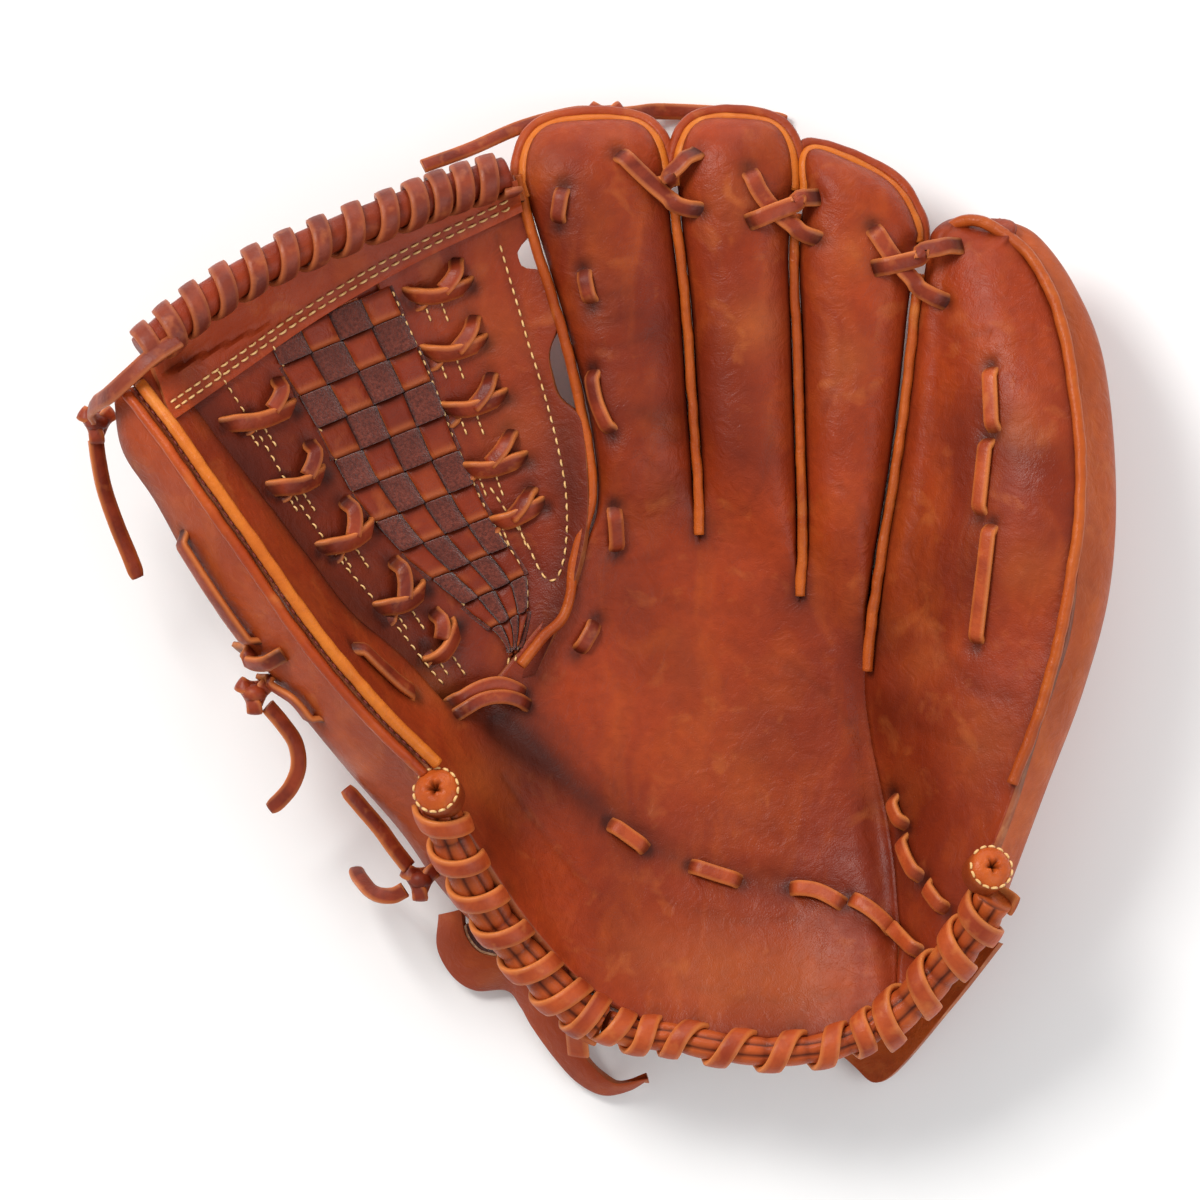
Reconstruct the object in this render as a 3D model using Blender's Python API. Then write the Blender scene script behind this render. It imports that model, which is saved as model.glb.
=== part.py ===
"""Fielder's baseball glove, 14 inch pattern, worn on the left hand, lying on its back.

Frame: +Z out of the palm, +Y towards the finger tips, +X towards the little finger.
Leather panels are sheets with the thickness of their hide, piping and laces are
separate strips, and four bodies move: hand, thumb side, little finger side, wrist strap.
Lengths below are in millimetres and become metres when a mesh is made.
"""

import math

import bpy
from mathutils import Vector

MM = 0.001

# Leather and lace gauges
SHELL_HIDE = 4.2
BACK_HIDE = 3.0
WEB_HIDE = 3.2
LINING_HIDE = 1.5
PAD_FELT = 3.2
STRAP_HIDE = 2.6
LACE_RADIUS = 1.7
CLEARANCE = 1.0

# Folds: the thumb side turns about a line beside the index finger, which passes through
# its heel point, and the little finger side about a line beside the ring finger.
THUMB_FOLD_HEEL = Vector((17.2, -143.0, 38.0))
LITTLE_FOLD_X = 105.0
LITTLE_FOLD_Z = 40.0
STRAP_HINGE = Vector((-56.0, -112.0, 16.0))

# Finger stalls
SLIT_HALF = 2.6
FINGER_CROWN = 11.0
PALM_COLUMNS = 5
PALM_ROWS = 9
FINGER_ROWS = 8
TIP_ROWS = 3
TIP_NARROW = 0.30
TIP_DROP = 11.0
TRIM_OUT = 2.9
TRIM_DROP = 4.6
SLIT_WELT = 1.5
SLIT_OPENS_AT = 1.5
CROWN_RISES_OVER = 3.0
STALL_RISES_FROM = 4
STALL_EDGE_GAP = 0.4
TIP_FLOOR_RISE = 12.0
TIP_DROP_SHARE = 0.6

# Seam lines of the palm leather, from the heel to the slit and on to the finger tip
PALM_RAILS = (
    ((20, -139, 46), (16, -100, 37), (12, -60, 33), (9, -25, 35), (2, 14, 40)),
    ((50, -147, 50), (42, -100, 33), (36, -60, 29), (33, -20, 30), (35, 19, 36)),
    ((78, -147, 51), (74, -100, 33), (70, -60, 29), (69, -25, 30), (70, -2, 34)),
    ((101, -134, 54), (101, -100, 43), (100, -60, 38), (100, -25, 38), (100, 10, 40)),
)
FINGER_RAILS = (
    ((2, 14, 40), (1, 35, 42), (-1, 60, 43), (-7, 85, 44), (-13, 105, 45), (-19, 128, 46),
     (-22, 146, 46)),
    ((35, 19, 36), (34, 46, 38), (32, 75, 39), (30, 105, 41), (27, 130, 43), (25, 148, 44)),
    ((70, -2, 34), (71, 25, 37), (70, 60, 39), (69, 95, 41), (68, 122, 43), (70, 146, 44)),
    ((100, 10, 40), (101, 40, 40), (101, 70, 40), (103, 95, 41), (107, 115, 42),
     (111, 132, 43)),
)
FINGERS = (
    {"name": "index", "rails": (0, 1), "tip": (1, 169), "floor": 1.0, "tip_floor": 14.0},
    {"name": "middle", "rails": (1, 2), "tip": (48, 171), "floor": 0.6, "tip_floor": 15.0},
    {"name": "ring", "rails": (2, 3), "tip": (90, 155), "floor": 1.0, "tip_floor": 16.0},
)

# Thumb side: rim piping, inner edge with fold line, and the back's outer, lower and last edges
THUMB_RIM = (
    (-161, 74, 103), (-150, 60, 109), (-138, 43, 112), (-119, 16, 112), (-98, -14, 108),
    (-77, -39, 100), (-58, -58, 90), (-47, -76, 80), (-39, -94, 71), (-28, -111, 62),
    (-14, -127, 54), (0, -137, 49), (11, -142, 47),
)
THUMB_INNER = (
    (-150, 78, 92), (-139, 61, 88), (-126, 40, 84), (-112, 19, 77), (-95, -2, 68),
    (-77, -20, 56), (-58, -34, 44), (-38, -34, 38), (-16, -22, 37), (-3, -50, 34),
    (1, -84, 35), (6, -115, 41), (9, -135, 46),
)
THUMB_OUTER = (
    (-168, 70, 86), (-164, 52, 84), (-154, 33, 80), (-133, -5, 72), (-110, -33, 62),
    (-88, -60, 52), (-70, -81, 42), (-59, -97, 34), (-50, -108, 28), (-38, -120, 24),
    (-22, -133, 22), (-6, -142, 22), (6, -147, 24),
)
THUMB_UNDER = (
    (-158, 75, 80), (-149, 54, 70), (-136, 31, 61), (-116, 2, 47), (-94, -22, 32),
    (-71, -44, 16), (-48, -62, 5), (-36, -78, 2), (-29, -92, 2), (-20, -104, 2),
    (-12, -114, 2), (-4, -122, 3), (2, -128, 4),
)
THUMB_LAST = (
    (-151, 77, 84), (-141, 58, 79), (-128, 37, 74), (-113, 16, 67), (-96, -5, 57),
    (-77, -24, 44), (-54, -40, 28), (-34, -44, 12), (-12, -46, 3), (-6, -62, 2),
    (-3, -82, 2), (1, -105, 2), (4, -120, 4),
)
THUMB_BULGE = (3.0, 2.0, 5.0)
THUMB_DISH = (-2.0, 0.0, -9.0)
THUMB_ROWS = 22
# Share of the thumb's length where its bowed shell turns to the dished palm
DISH_STARTS = 0.35
DISH_SPREAD = 0.25
HEEL_DROP_STARTS = 0.46
HEEL_DROP_SPREAD = 0.08

# Little finger side, from the heel to the tip
LITTLE_INNER = (
    (109, -112, 55), (109, -80, 46), (109, -40, 41), (109, 0, 41), (109, 50, 41),
    (109, 92, 42), (112, 110, 44), (119, 123, 45), (128, 130, 45),
)
LITTLE_RIM = (
    (136, -90, 75), (144, -64, 76), (155, -34, 78), (164, 5, 79), (168, 42, 76),
    (165, 78, 68), (157, 104, 60), (147, 122, 52), (137, 130, 48),
)
LITTLE_OUTER = (
    (142, -104, 48), (156, -66, 50), (169, -31, 52), (178, 4, 52), (180, 42, 50),
    (176, 84, 46), (166, 110, 42), (153, 128, 40), (140, 134, 40),
)
LITTLE_UNDER = (
    (124, -108, 9), (134, -66, 6), (144, -30, 5), (150, 4, 5), (152, 42, 6),
    (150, 80, 10), (146, 102, 18), (142, 120, 28), (136, 129, 35),
)
LITTLE_LAST = (
    (110, -116, 6), (110, -70, 2), (110, -35, 1), (110, 2, 1), (110, 44, 2),
    (112, 86, 8), (117, 106, 17), (124, 119, 27), (131, 127, 34),
)
LITTLE_BULGE = (0.0, 0.0, 9.0)
LITTLE_ROWS = 18
LITTLE_PAD_DEPTH = 9.5

# Web, from the crotch to the roll
WEB_LEFT = (
    (-43, -25, 44), (-58, -24, 52), (-76, -8, 63), (-94, 12, 74), (-109, 32, 82),
    (-121, 52, 88), (-134, 72, 92), (-143, 86, 94),
)
WEB_RIGHT = (
    (-27, -20, 40), (-15, 0, 41), (-12, 22, 42), (-13, 45, 43), (-17, 70, 44),
    (-22, 95, 45), (-28, 118, 46), (-35, 138, 47),
)
WEB_SAG = 16.0
WEB_BAND_START = 0.88
WEB_ROWS = 12
WEB_SAMPLES = 20
WEAVE_RELIEF = 0.6
WEB_SEAM_GAP = 0.012
WEB_LACE_ROWS = 22
WEB_LACE_STAND = 3.4
ROLL_LINE = (
    (-157, 88, 104), (-140, 102, 99), (-119, 115, 90), (-95, 126, 79), (-70, 136, 68),
    (-52, 143, 60), (-44, 146, 57),
)
ROLL_RADIUS = 6.5
ROLL_WRAPS = 13

# Heel roll from the thumb side to the little finger side
HEEL_LINE_THUMB = (
    (-54, -78, 79), (-46, -95, 70), (-36, -112, 61), (-22, -131, 53), (-8, -144, 48),
    (0, -149, 45.5),
)
HEEL_LINE_HAND = (
    (22, -151, 46), (36, -156, 49), (55, -158, 51), (74, -157, 52), (90, -152, 53),
    (100, -145, 55),
)
HEEL_LINE_LITTLE = ((112, -133, 60), (124, -122, 64), (133, -112, 68))
HEEL_RADIUS = 5.0
LACE_STAND_OFF = 3.3

PLUG_RADIUS = 8.0
PLUG_HEIGHT = 9.0
THUMB_PLUG = (-55, -70, 93)
LITTLE_PLUG = (137, -103, 79)

# Free lace ends, each from its knot to its cut end
KNOTS = {
    "web_loop_knot": (-175.5, 62.0, 66.0),
    "thumb_lace_knot": (-120.5, -32.5, 66.0),
    "wrist_lace_knot": (-63.0, -98.0, 48.0),
    "index_tip_knot": (2.0, 170.0, 16.0),
}
KNOT_RADIUS = 4.6
TAILS = {
    "web_loop_tail": (
        (-176, 56, 64), (-175, 48, 61), (-173, 38, 57), (-169, 26, 52), (-165, 16, 48),
        (-162, 8, 45),
    ),
    "thumb_lace_tail": (
        (-116, -37, 64), (-111, -43, 61), (-106.5, -50, 57), (-105.5, -58, 53),
        (-108, -65, 49), (-112, -70, 45), (-115.5, -73, 42),
    ),
    "wrist_lace_tail_upper": (
        (-67, -93.5, 49), (-72, -87, 51), (-77, -80, 52), (-83, -73, 52), (-89, -66, 51),
    ),
    "wrist_lace_tail_lower": (
        (-68.5, -101.5, 47), (-72.5, -103.5, 45), (-77, -103.5, 41), (-80.5, -102, 36),
        (-83, -99.5, 30), (-85, -97, 24), (-86, -95, 18),
    ),
    "index_tip_tail": (
        (8.4, 171, 15.5), (12.5, 171.5, 12), (19, 172.5, 6.5), (27, 172.5, 3.2), (38, 172, 2.4),
        (52, 171, 2.4), (66, 169, 2.4),
    ),
}
TAIL_RADIUS = 1.9
CORD_SIDES = 2

# Laces that lie on the leather
WEB_LOOP = (
    (-163, 95, 103), (-168, 93, 99), (-173, 87, 92), (-176, 78, 80), (-176.5, 70, 72),
)
CROTCH_LACE = ((-52, -36, 52), (-42, -29, 47), (-34, -27, 45), (-26, -30, 44))
CREASE_LACE = (
    (22, -84, 40), (34, -94, 37), (46, -100, 36.5), (62, -106, 37), (78, -106, 38),
    (88, -112, 46), (94, -119, 52),
)
INDEX_LACE = (
    (8, 112, 59), (6, 92, 58), (8, 70, 57), (12, 48, 56), (14, 26, 54), (10, 6, 46),
)
LITTLE_LACE = ((130, 80, 67), (132, 50, 71), (132, 20, 72), (130, -16, 72))
TIP_LACES = (
    ((9, 154, 59), (17, 150, 58), (27, 143, 52), (36, 137, 58), (44, 136, 59)),
    ((53, 147, 59), (61, 144, 57), (69, 136, 51), (76, 129, 57), (82, 127, 59)),
    ((112.5, 112, 56), (117, 110, 60), (124, 106, 62), (131, 104, 65)),
)
THUMB_LACE = ((-151, 11, 80), (-144, -4, 75), (-136, -17, 70), (-128, -26, 67))

# Wrist strap: x, y, height and half width at each station, from its knot to its free end
STRAP_STATIONS = (
    (-62, -122, 9, 7), (-48, -135, 6, 9), (-32, -148, 4.5, 10), (-14, -160, 4, 10),
    (4, -165, 5, 8), (16, -167, 8, 5),
)

COLOURS = {
    "palm_leather": (0.40, 0.095, 0.03, 1.0),
    "back_leather": (0.33, 0.075, 0.025, 1.0),
    "web_leather": (0.30, 0.06, 0.022, 1.0),
    "welt_leather": (0.62, 0.20, 0.04, 1.0),
    "lace_rawhide": (0.32, 0.075, 0.03, 1.0),
    "lining_leather": (0.50, 0.26, 0.12, 1.0),
    "pad_felt": (0.55, 0.50, 0.42, 1.0),
}


def clear_scene():
    for obj in list(bpy.data.objects):
        bpy.data.objects.remove(obj, do_unlink=True)


def material(slot, own_name):
    mat = bpy.data.materials.new(own_name + "_" + slot)
    mat.use_nodes = True
    shader = mat.node_tree.nodes["Principled BSDF"]
    shader.inputs["Base Color"].default_value = COLOURS[slot]
    shader.inputs["Roughness"].default_value = 0.9 if slot == "pad_felt" else 0.5
    shader.inputs["Metallic"].default_value = 0.0
    return mat


def spline(points, count):
    """Count points spread evenly in parameter along a Catmull-Rom curve through points."""
    knots = [Vector(p) for p in points]
    first = knots[0] * 2 - knots[1]
    last = knots[-1] * 2 - knots[-2]
    padded = [first] + knots + [last]
    spans = len(knots) - 1
    out = []
    for i in range(count):
        at = i * spans / (count - 1)
        k = min(int(at), spans - 1)
        f = at - k
        a, b, c, d = padded[k : k + 4]
        out.append(
            b + (c - a) * (0.5 * f)
            + (a * 2 - b * 5 + c * 4 - d) * (0.5 * f * f)
            + (b * 3 - a - c * 3 + d) * (0.5 * f * f * f)
        )
    return out


def new_object(name, data, slot, origin=(0.0, 0.0, 0.0)):
    obj = bpy.data.objects.new(name, data)
    bpy.context.collection.objects.link(obj)
    data.materials.append(material(slot, name))
    obj.location = Vector(origin) * MM
    return obj


def join_grids(grids):
    """One vertex list and face list from grids of points, merged where corners coincide."""
    verts, faces, seen = [], [], {}

    def index(p):
        key = (round(p.x, 3), round(p.y, 3), round(p.z, 3))
        if key not in seen:
            seen[key] = len(verts)
            verts.append(p)
        return seen[key]

    for grid in grids:
        for r in range(len(grid) - 1):
            for c in range(len(grid[r]) - 1):
                ring = [
                    index(grid[r][c]),
                    index(grid[r][c + 1]),
                    index(grid[r + 1][c + 1]),
                    index(grid[r + 1][c]),
                ]
                faces.append([v for k, v in enumerate(ring) if v not in ring[:k]])
    return verts, faces


def sheet(name, grids, thickness, slot, origin=(0.0, 0.0, 0.0)):
    """A leather panel: its outer face is the grids' surface, its hide grows behind it."""
    verts, faces = join_grids(grids)
    base = Vector(origin)
    mesh = bpy.data.meshes.new(name)
    mesh.from_pydata([(v - base) * MM for v in verts], [], faces)
    mesh.shade_smooth()
    obj = new_object(name, mesh, slot, origin)
    solid = obj.modifiers.new("Hide", "SOLIDIFY")
    solid.thickness = thickness * MM
    solid.offset = -1.0
    solid.use_even_offset = False
    return obj


def strip(name, points, radius, slot, origin=(0.0, 0.0, 0.0), sides=1):
    """A lace, welt or roll: a round strip along the points, closed at both ends."""
    base = Vector(origin)
    curve = bpy.data.curves.new(name, "CURVE")
    curve.dimensions = "3D"
    curve.bevel_depth = radius * MM
    curve.bevel_resolution = sides
    curve.use_fill_caps = True
    curve.render_resolution_u = 0
    line = curve.splines.new("POLY")
    line.points.add(len(points) - 1)
    for point, at in zip(line.points, points):
        point.co = (*((Vector(at) - base) * MM), 1.0)
    return new_object(name, curve, slot, origin)


def helix(line, wraps, reach, per_wrap=6):
    """Points that wind round a line, reach away from it."""
    count = wraps * per_wrap + 1
    centre = spline(line, count)
    out = []
    for i, at in enumerate(centre):
        ahead = centre[min(i + 1, count - 1)] - centre[max(i - 1, 0)]
        ahead.normalize()
        side = ahead.cross(Vector((0.0, 0.0, 1.0))).normalized()
        up = side.cross(ahead)
        turn = 2.0 * math.pi * i / per_wrap
        out.append(at + side * (reach * math.cos(turn)) + up * (reach * math.sin(turn)))
    return out


def crown(t):
    """Rises from 0 at both seams to 1 between them, steep at the seams like a stuffed stall."""
    return max(0.0, 1.0 - abs(2.0 * t - 1.0) ** 2.4) ** 0.75


def rail_pair(finger, row):
    left = spline(FINGER_RAILS[finger["rails"][0]], FINGER_ROWS + 1)[row]
    right = spline(FINGER_RAILS[finger["rails"][1]], FINGER_ROWS + 1)[row]
    open_slit = min(1.0, row / SLIT_OPENS_AT)
    left = left + Vector((SLIT_HALF * open_slit if finger["rails"][0] else 0.0, 0, 0))
    right = right - Vector((SLIT_HALF * open_slit if finger["rails"][1] < 3 else 0.0, 0, 0))
    return left, right


def tip_pair(finger, step):
    """The two edges of a tip row: they draw in and run on towards the finger's end."""
    left, right = rail_pair(finger, FINGER_ROWS)
    angle = 0.5 * math.pi * step / TIP_ROWS
    mid = (left + right) / 2
    end = Vector((finger["tip"][0], finger["tip"][1], mid.z))
    centre = mid.lerp(end, math.sin(angle))
    share = TIP_NARROW + (1.0 - TIP_NARROW) * math.cos(angle) ** 0.8
    half = (right - left) / 2 * share
    return centre - half, centre + half


def finger_grid(finger):
    grid = []
    for row in range(FINGER_ROWS + 1):
        left, right = rail_pair(finger, row)
        lift = FINGER_CROWN * min(1.0, row / CROWN_RISES_OVER)
        grid.append(
            [
                left.lerp(right, c / PALM_COLUMNS)
                + Vector((0, 0, lift * crown(c / PALM_COLUMNS)))
                for c in range(PALM_COLUMNS + 1)
            ]
        )
    for step in range(1, TIP_ROWS + 1):
        left, right = tip_pair(finger, step)
        fall = 1.0 - math.cos(0.5 * math.pi * step / TIP_ROWS)
        lift = FINGER_CROWN * (1.0 - fall)
        grid.append(
            [
                left.lerp(right, c / PALM_COLUMNS)
                + Vector((0, 0, lift * crown(c / PALM_COLUMNS) - TIP_DROP * TIP_DROP_SHARE * fall))
                for c in range(PALM_COLUMNS + 1)
            ]
        )
    return grid


def palm_grid(drop=0.0, first_row=0, last_row=PALM_ROWS, inset=0):
    """The palm from heel to slits; drop gives the layers under the leather."""
    rails = [spline(rail, PALM_ROWS + 1) for rail in PALM_RAILS]
    grid = []
    for row in range(first_row, last_row + 1):
        line = []
        for f in range(3):
            left, right = rails[f][row], rails[f + 1][row]
            last = PALM_COLUMNS + (1 if f == 2 else 0)
            for c in range(last):
                line.append(left.lerp(right, c / PALM_COLUMNS) - Vector((0, 0, drop)))
        grid.append(line[inset : len(line) - inset])
    return grid


def make_palm():
    sheet(
        "palm_leather",
        [palm_grid()] + [finger_grid(f) for f in FINGERS],
        SHELL_HIDE,
        "palm_leather",
    )
    pad_depth = SHELL_HIDE + CLEARANCE
    sheet("palm_pad", [palm_grid(pad_depth, 1, 8, 1)], PAD_FELT, "pad_felt")
    lining_depth = pad_depth + PAD_FELT + CLEARANCE
    sheet("palm_lining", [palm_grid(lining_depth, 1, 8, 1)], LINING_HIDE, "lining_leather")


def trough(left, right, floor, columns, open_end=0.0):
    """A stall's back: down from one seam, across the floor and up to the other seam."""
    out = []
    for c in range(columns + 1):
        t = c / columns
        depth = (1.0 - abs(2.0 * t - 1.0) ** 3.2) ** 0.6
        x = left.x + (right.x - left.x) * (0.5 - 0.5 * math.cos(math.pi * t))
        y = left.y + (right.y - left.y) * t
        top = left.z + (right.z - left.z) * t - SHELL_HIDE - CLEARANCE - open_end
        out.append(Vector((x, y, top + (floor - top) * depth)))
    return out


def make_finger_backs():
    for finger in FINGERS:
        grid = []
        for row in range(1, FINGER_ROWS + 1):
            left, right = rail_pair(finger, row)
            rise = max(0.0, (row - STALL_RISES_FROM) / (FINGER_ROWS - STALL_RISES_FROM))
            floor = finger["floor"] + (finger["tip_floor"] - finger["floor"]) * rise ** 1.6
            edge = Vector((STALL_EDGE_GAP, 0, 0))
            grid.append(trough(left + edge, right - edge, floor, 8)[::-1])
        for step in range(1, TIP_ROWS):
            left, right = tip_pair(finger, step)
            fall = 1.0 - math.cos(0.5 * math.pi * step / TIP_ROWS)
            floor = finger["tip_floor"] + TIP_FLOOR_RISE * fall
            grid.append(trough(left, right, floor, 8, TIP_DROP * TIP_DROP_SHARE * fall)[::-1])
        sheet(finger["name"] + "_back", [grid], BACK_HIDE, "back_leather")


def make_hand_back():
    """Back of the hand below the knuckles, flat where the glove rests, and the wrist flap."""
    columns = ((10, 6), (16, 0), (43, 0), (70, 0), (93, 0), (99, 6))
    rows = (10, -12, -34, -58)
    grid = [[Vector((x, y, z)) for x, z in columns] for y in rows]
    sheet("hand_back", [grid], BACK_HIDE, "back_leather")
    flap_rows = []
    for y, left, right in ((-118, 30, 106), (-132, 30, 113), (-150, 40, 116), (-168, 88, 110)):
        flap_rows.append(
            [Vector((left + (right - left) * c / 4, y, 0.0)) for c in range(5)]
        )
    sheet("wrist_flap", [flap_rows], BACK_HIDE, "back_leather")


def make_finger_trim():
    for finger in FINGERS:
        ends = [tip_pair(finger, s) for s in range(1, TIP_ROWS + 1)]
        hub = sum(rail_pair(finger, FINGER_ROWS), Vector()) / 2
        rim = [e[0] for e in ends] + [e[1] for e in reversed(ends)]
        line = []
        for p in rim:
            out = (p - hub) * Vector((1.0, 1.0, 0.0))
            line.append(p + out.normalized() * TRIM_OUT - Vector((0, 0, TRIM_DROP)))
        strip(finger["name"] + "_tip_binding", line, SLIT_WELT, "welt_leather")
    for name, rail in (("index_middle_welt", 1), ("middle_ring_welt", 2)):
        line = spline(FINGER_RAILS[rail], 16)[3:15]
        strip(name, [p + Vector((0, 0, 0.8)) for p in line], SLIT_WELT, "welt_leather")
    ring_line = spline(FINGER_RAILS[3], 16)[1:15]
    strip("ring_little_welt", shifted(ring_line, 2.4), SLIT_WELT, "welt_leather")
    web_line = spline(FINGER_RAILS[0], 18)[1:]
    strip("index_web_welt", shifted(web_line, -2.4), SLIT_WELT, "welt_leather")


def shifted(line, across, up=0.4):
    return [p + Vector((across, 0.0, up)) for p in line]


def patch(top, bottom, rows, columns, bulge, dish=None, start=0.0, end=1.0, heel_drop=0.0):
    """A panel ruled between two edges, bowed by bulge, turning to dish at its last rows."""
    a, b = spline(top, rows), spline(bottom, rows)
    grid = []
    for r in range(rows):
        s = r / (rows - 1)
        ease = min(1.0, max(0.0, (s - DISH_STARTS) / DISH_SPREAD))
        ease = ease * ease * (3.0 - 2.0 * ease)
        bow = Vector(bulge) if dish is None else Vector(bulge).lerp(Vector(dish), ease)
        first = start + heel_drop * ease
        line = []
        for c in range(columns + 1):
            t = first + (end - first) * c / columns
            line.append(a[r].lerp(b[r], t) + bow * (4.0 * t * (1.0 - t)))
        grid.append(line)
    return grid


def section_patch(edges, rows, columns, start=0.0, end=1.0, heel_drop=0.0):
    """A panel whose every row is a smooth curve through one point of each edge.

    heel_drop lowers its first edge in the rows past the middle.
    """
    lines = [spline(edge, rows) for edge in edges]
    fine = 40
    grid = []
    for r in range(rows):
        path = spline([line[r] for line in lines], fine + 1)
        past = (r / (rows - 1) - HEEL_DROP_STARTS) / HEEL_DROP_SPREAD
        first = start + heel_drop * min(1.0, max(0.0, past))
        row = []
        for c in range(columns + 1):
            at = fine * (first + (end - first) * c / columns)
            k = min(int(at), fine - 1)
            row.append(path[k].lerp(path[k + 1], at - k))
        grid.append(row)
    return grid


def flipped(grid):
    return [row[::-1] for row in grid]


def make_thumb_side():
    origin = THUMB_FOLD_HEEL
    edge = 0.07
    front = patch(THUMB_RIM, THUMB_INNER, THUMB_ROWS, 6, THUMB_BULGE, THUMB_DISH, edge, 1.0, 0.08)
    sheet("thumb_palm_leather", [flipped(front)], SHELL_HIDE, "palm_leather", origin)
    back_edges = (THUMB_RIM, THUMB_OUTER, THUMB_UNDER, THUMB_LAST)
    back = section_patch(back_edges, THUMB_ROWS, 9, 0.05, 1.0, 0.14)
    sheet("thumb_back", [back], BACK_HIDE, "back_leather", origin)
    pad = patch(THUMB_RIM, THUMB_INNER, THUMB_ROWS, 4, THUMB_BULGE, THUMB_DISH, 0.35, 0.85)
    under = Vector((-1.5, -1.5, -1.0)) * (SHELL_HIDE + CLEARANCE)
    pad = [[p + under for p in row] for row in pad[11:19]]
    sheet("thumb_pad", [flipped(pad)], PAD_FELT, "pad_felt", origin)
    rim = spline(THUMB_RIM, 34)[:18]
    strip("thumb_welt", [p + Vector((0, 0, 1.6)) for p in rim], SLIT_WELT, "welt_leather", origin)


def web_point(u, v):
    """A point of the web's face: u runs from thumb to index finger, v from crotch to roll."""
    left = spline(WEB_LEFT, WEB_SAMPLES + 1)
    right = spline(WEB_RIGHT, WEB_SAMPLES + 1)
    at = v * WEB_SAMPLES
    k = min(int(at), WEB_SAMPLES - 1)
    a = left[k].lerp(left[k + 1], at - k)
    b = right[k].lerp(right[k + 1], at - k)
    sag = WEB_SAG * 4.0 * u * (1.0 - u) * math.sin(math.pi * min(1.0, v * 0.9))
    return a.lerp(b, u) - Vector((0, 0, sag))


def web_grid(left_share, right_share, v0, v1, rows, columns, relief=0.0):
    """left_share and right_share give u at v, so a panel's edge can follow a seam."""
    grid = []
    for r in range(rows + 1):
        v = v0 + (v1 - v0) * r / rows
        u0, u1 = left_share(v), right_share(v)
        row = []
        for c in range(columns + 1):
            p = web_point(u0 + (u1 - u0) * c / columns, v)
            row.append(p + Vector((0, 0, relief * (-1) ** (r + c))))
        grid.append(row)
    return grid


def left_seam(v):
    return 0.60 - 0.36 * v


def right_seam(v):
    return 0.70 - 0.10 * v


def make_web():
    origin = THUMB_FOLD_HEEL
    gap = WEB_SEAM_GAP
    panels = (
        ("web_left_panel", lambda v: 0.02, lambda v: left_seam(v) - gap, 0.06, 0.86, 3, 0.0),
        ("web_weave", lambda v: left_seam(v) + gap, lambda v: right_seam(v) - gap, 0.10, 0.86,
         4, WEAVE_RELIEF),
        ("web_right_panel", lambda v: right_seam(v) + gap, lambda v: 0.95, 0.06, 0.86, 3, 0.0),
        ("web_top_band", lambda v: 0.04, lambda v: 0.95, WEB_BAND_START, 0.98, 12, 0.0),
    )
    for name, left, right, v0, v1, columns, relief in panels:
        rows = 2 if name == "web_top_band" else WEB_ROWS
        grid = web_grid(left, right, v0, v1, rows, columns, relief)
        sheet(name, [grid], WEB_HIDE, "web_leather", origin)
    strip("web_top_roll", spline(ROLL_LINE, 20), ROLL_RADIUS, "web_leather", origin)
    wrap = helix(ROLL_LINE, ROLL_WRAPS, ROLL_RADIUS + LACE_STAND_OFF)
    strip("web_wrap_lace", wrap, LACE_RADIUS, "lace_rawhide", origin)
    for name, seam in (("web_left_lace", left_seam), ("web_right_lace", right_seam)):
        line = []
        for i in range(WEB_LACE_ROWS):
            v = 0.12 + 0.70 * i / (WEB_LACE_ROWS - 1)
            side = 0.035 * math.sin(math.pi * (i + 0.5))
            line.append(web_point(seam(v) + side, v) + Vector((0, 0, WEB_LACE_STAND)))
        strip(name, line, LACE_RADIUS, "lace_rawhide", origin)
    strip("web_loop_lace", spline(WEB_LOOP, 14), LACE_RADIUS, "lace_rawhide", origin)
    strip("web_crotch_lace", spline(CROTCH_LACE, 10), LACE_RADIUS, "lace_rawhide", origin)


def make_heel():
    runs = (
        ("thumb", HEEL_LINE_THUMB, 8, THUMB_FOLD_HEEL),
        ("hand", HEEL_LINE_HAND, 6, (0, 0, 0)),
        ("little", HEEL_LINE_LITTLE, 3, (LITTLE_FOLD_X, 0, LITTLE_FOLD_Z)),
    )
    for side, line, wraps, origin in runs:
        roll = spline(line, 2 * wraps + 4)
        strip(side + "_heel_roll", roll, HEEL_RADIUS, "palm_leather", origin)
        lace = helix(line, wraps, HEEL_RADIUS + LACE_STAND_OFF)
        strip(side + "_heel_lace", lace, LACE_RADIUS, "lace_rawhide", origin)


def plug(name, at, origin):
    """A gathered round plug that closes the end of a heel roll."""
    base = Vector(at) - Vector(origin)
    mesh = bpy.data.meshes.new(name)
    profile = ((0.0, 0.5), (0.35, 0.42), (0.72, 0.44), (0.95, 0.2), (1.0, -0.1), (0.8, -0.5))
    verts, faces = [Vector((0, 0, PLUG_HEIGHT * profile[0][1]))], []
    count = 14
    for radius, height in profile[1:]:
        for i in range(count):
            a = 2.0 * math.pi * i / count
            r = PLUG_RADIUS * radius
            verts.append(Vector((r * math.cos(a), r * math.sin(a), PLUG_HEIGHT * height)))
    for i in range(count):
        j = (i + 1) % count
        faces.append((0, 1 + i, 1 + j))
        for k in range(len(profile) - 2):
            low, high = 1 + k * count, 1 + (k + 1) * count
            faces.append((low + i, high + i, high + j, low + j))
    bottom = 1 + (len(profile) - 2) * count
    faces.append([bottom + i for i in reversed(range(count))])
    mesh.from_pydata([(v + base) * MM for v in verts], [], faces)
    mesh.shade_smooth()
    new_object(name, mesh, "palm_leather", origin)


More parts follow.
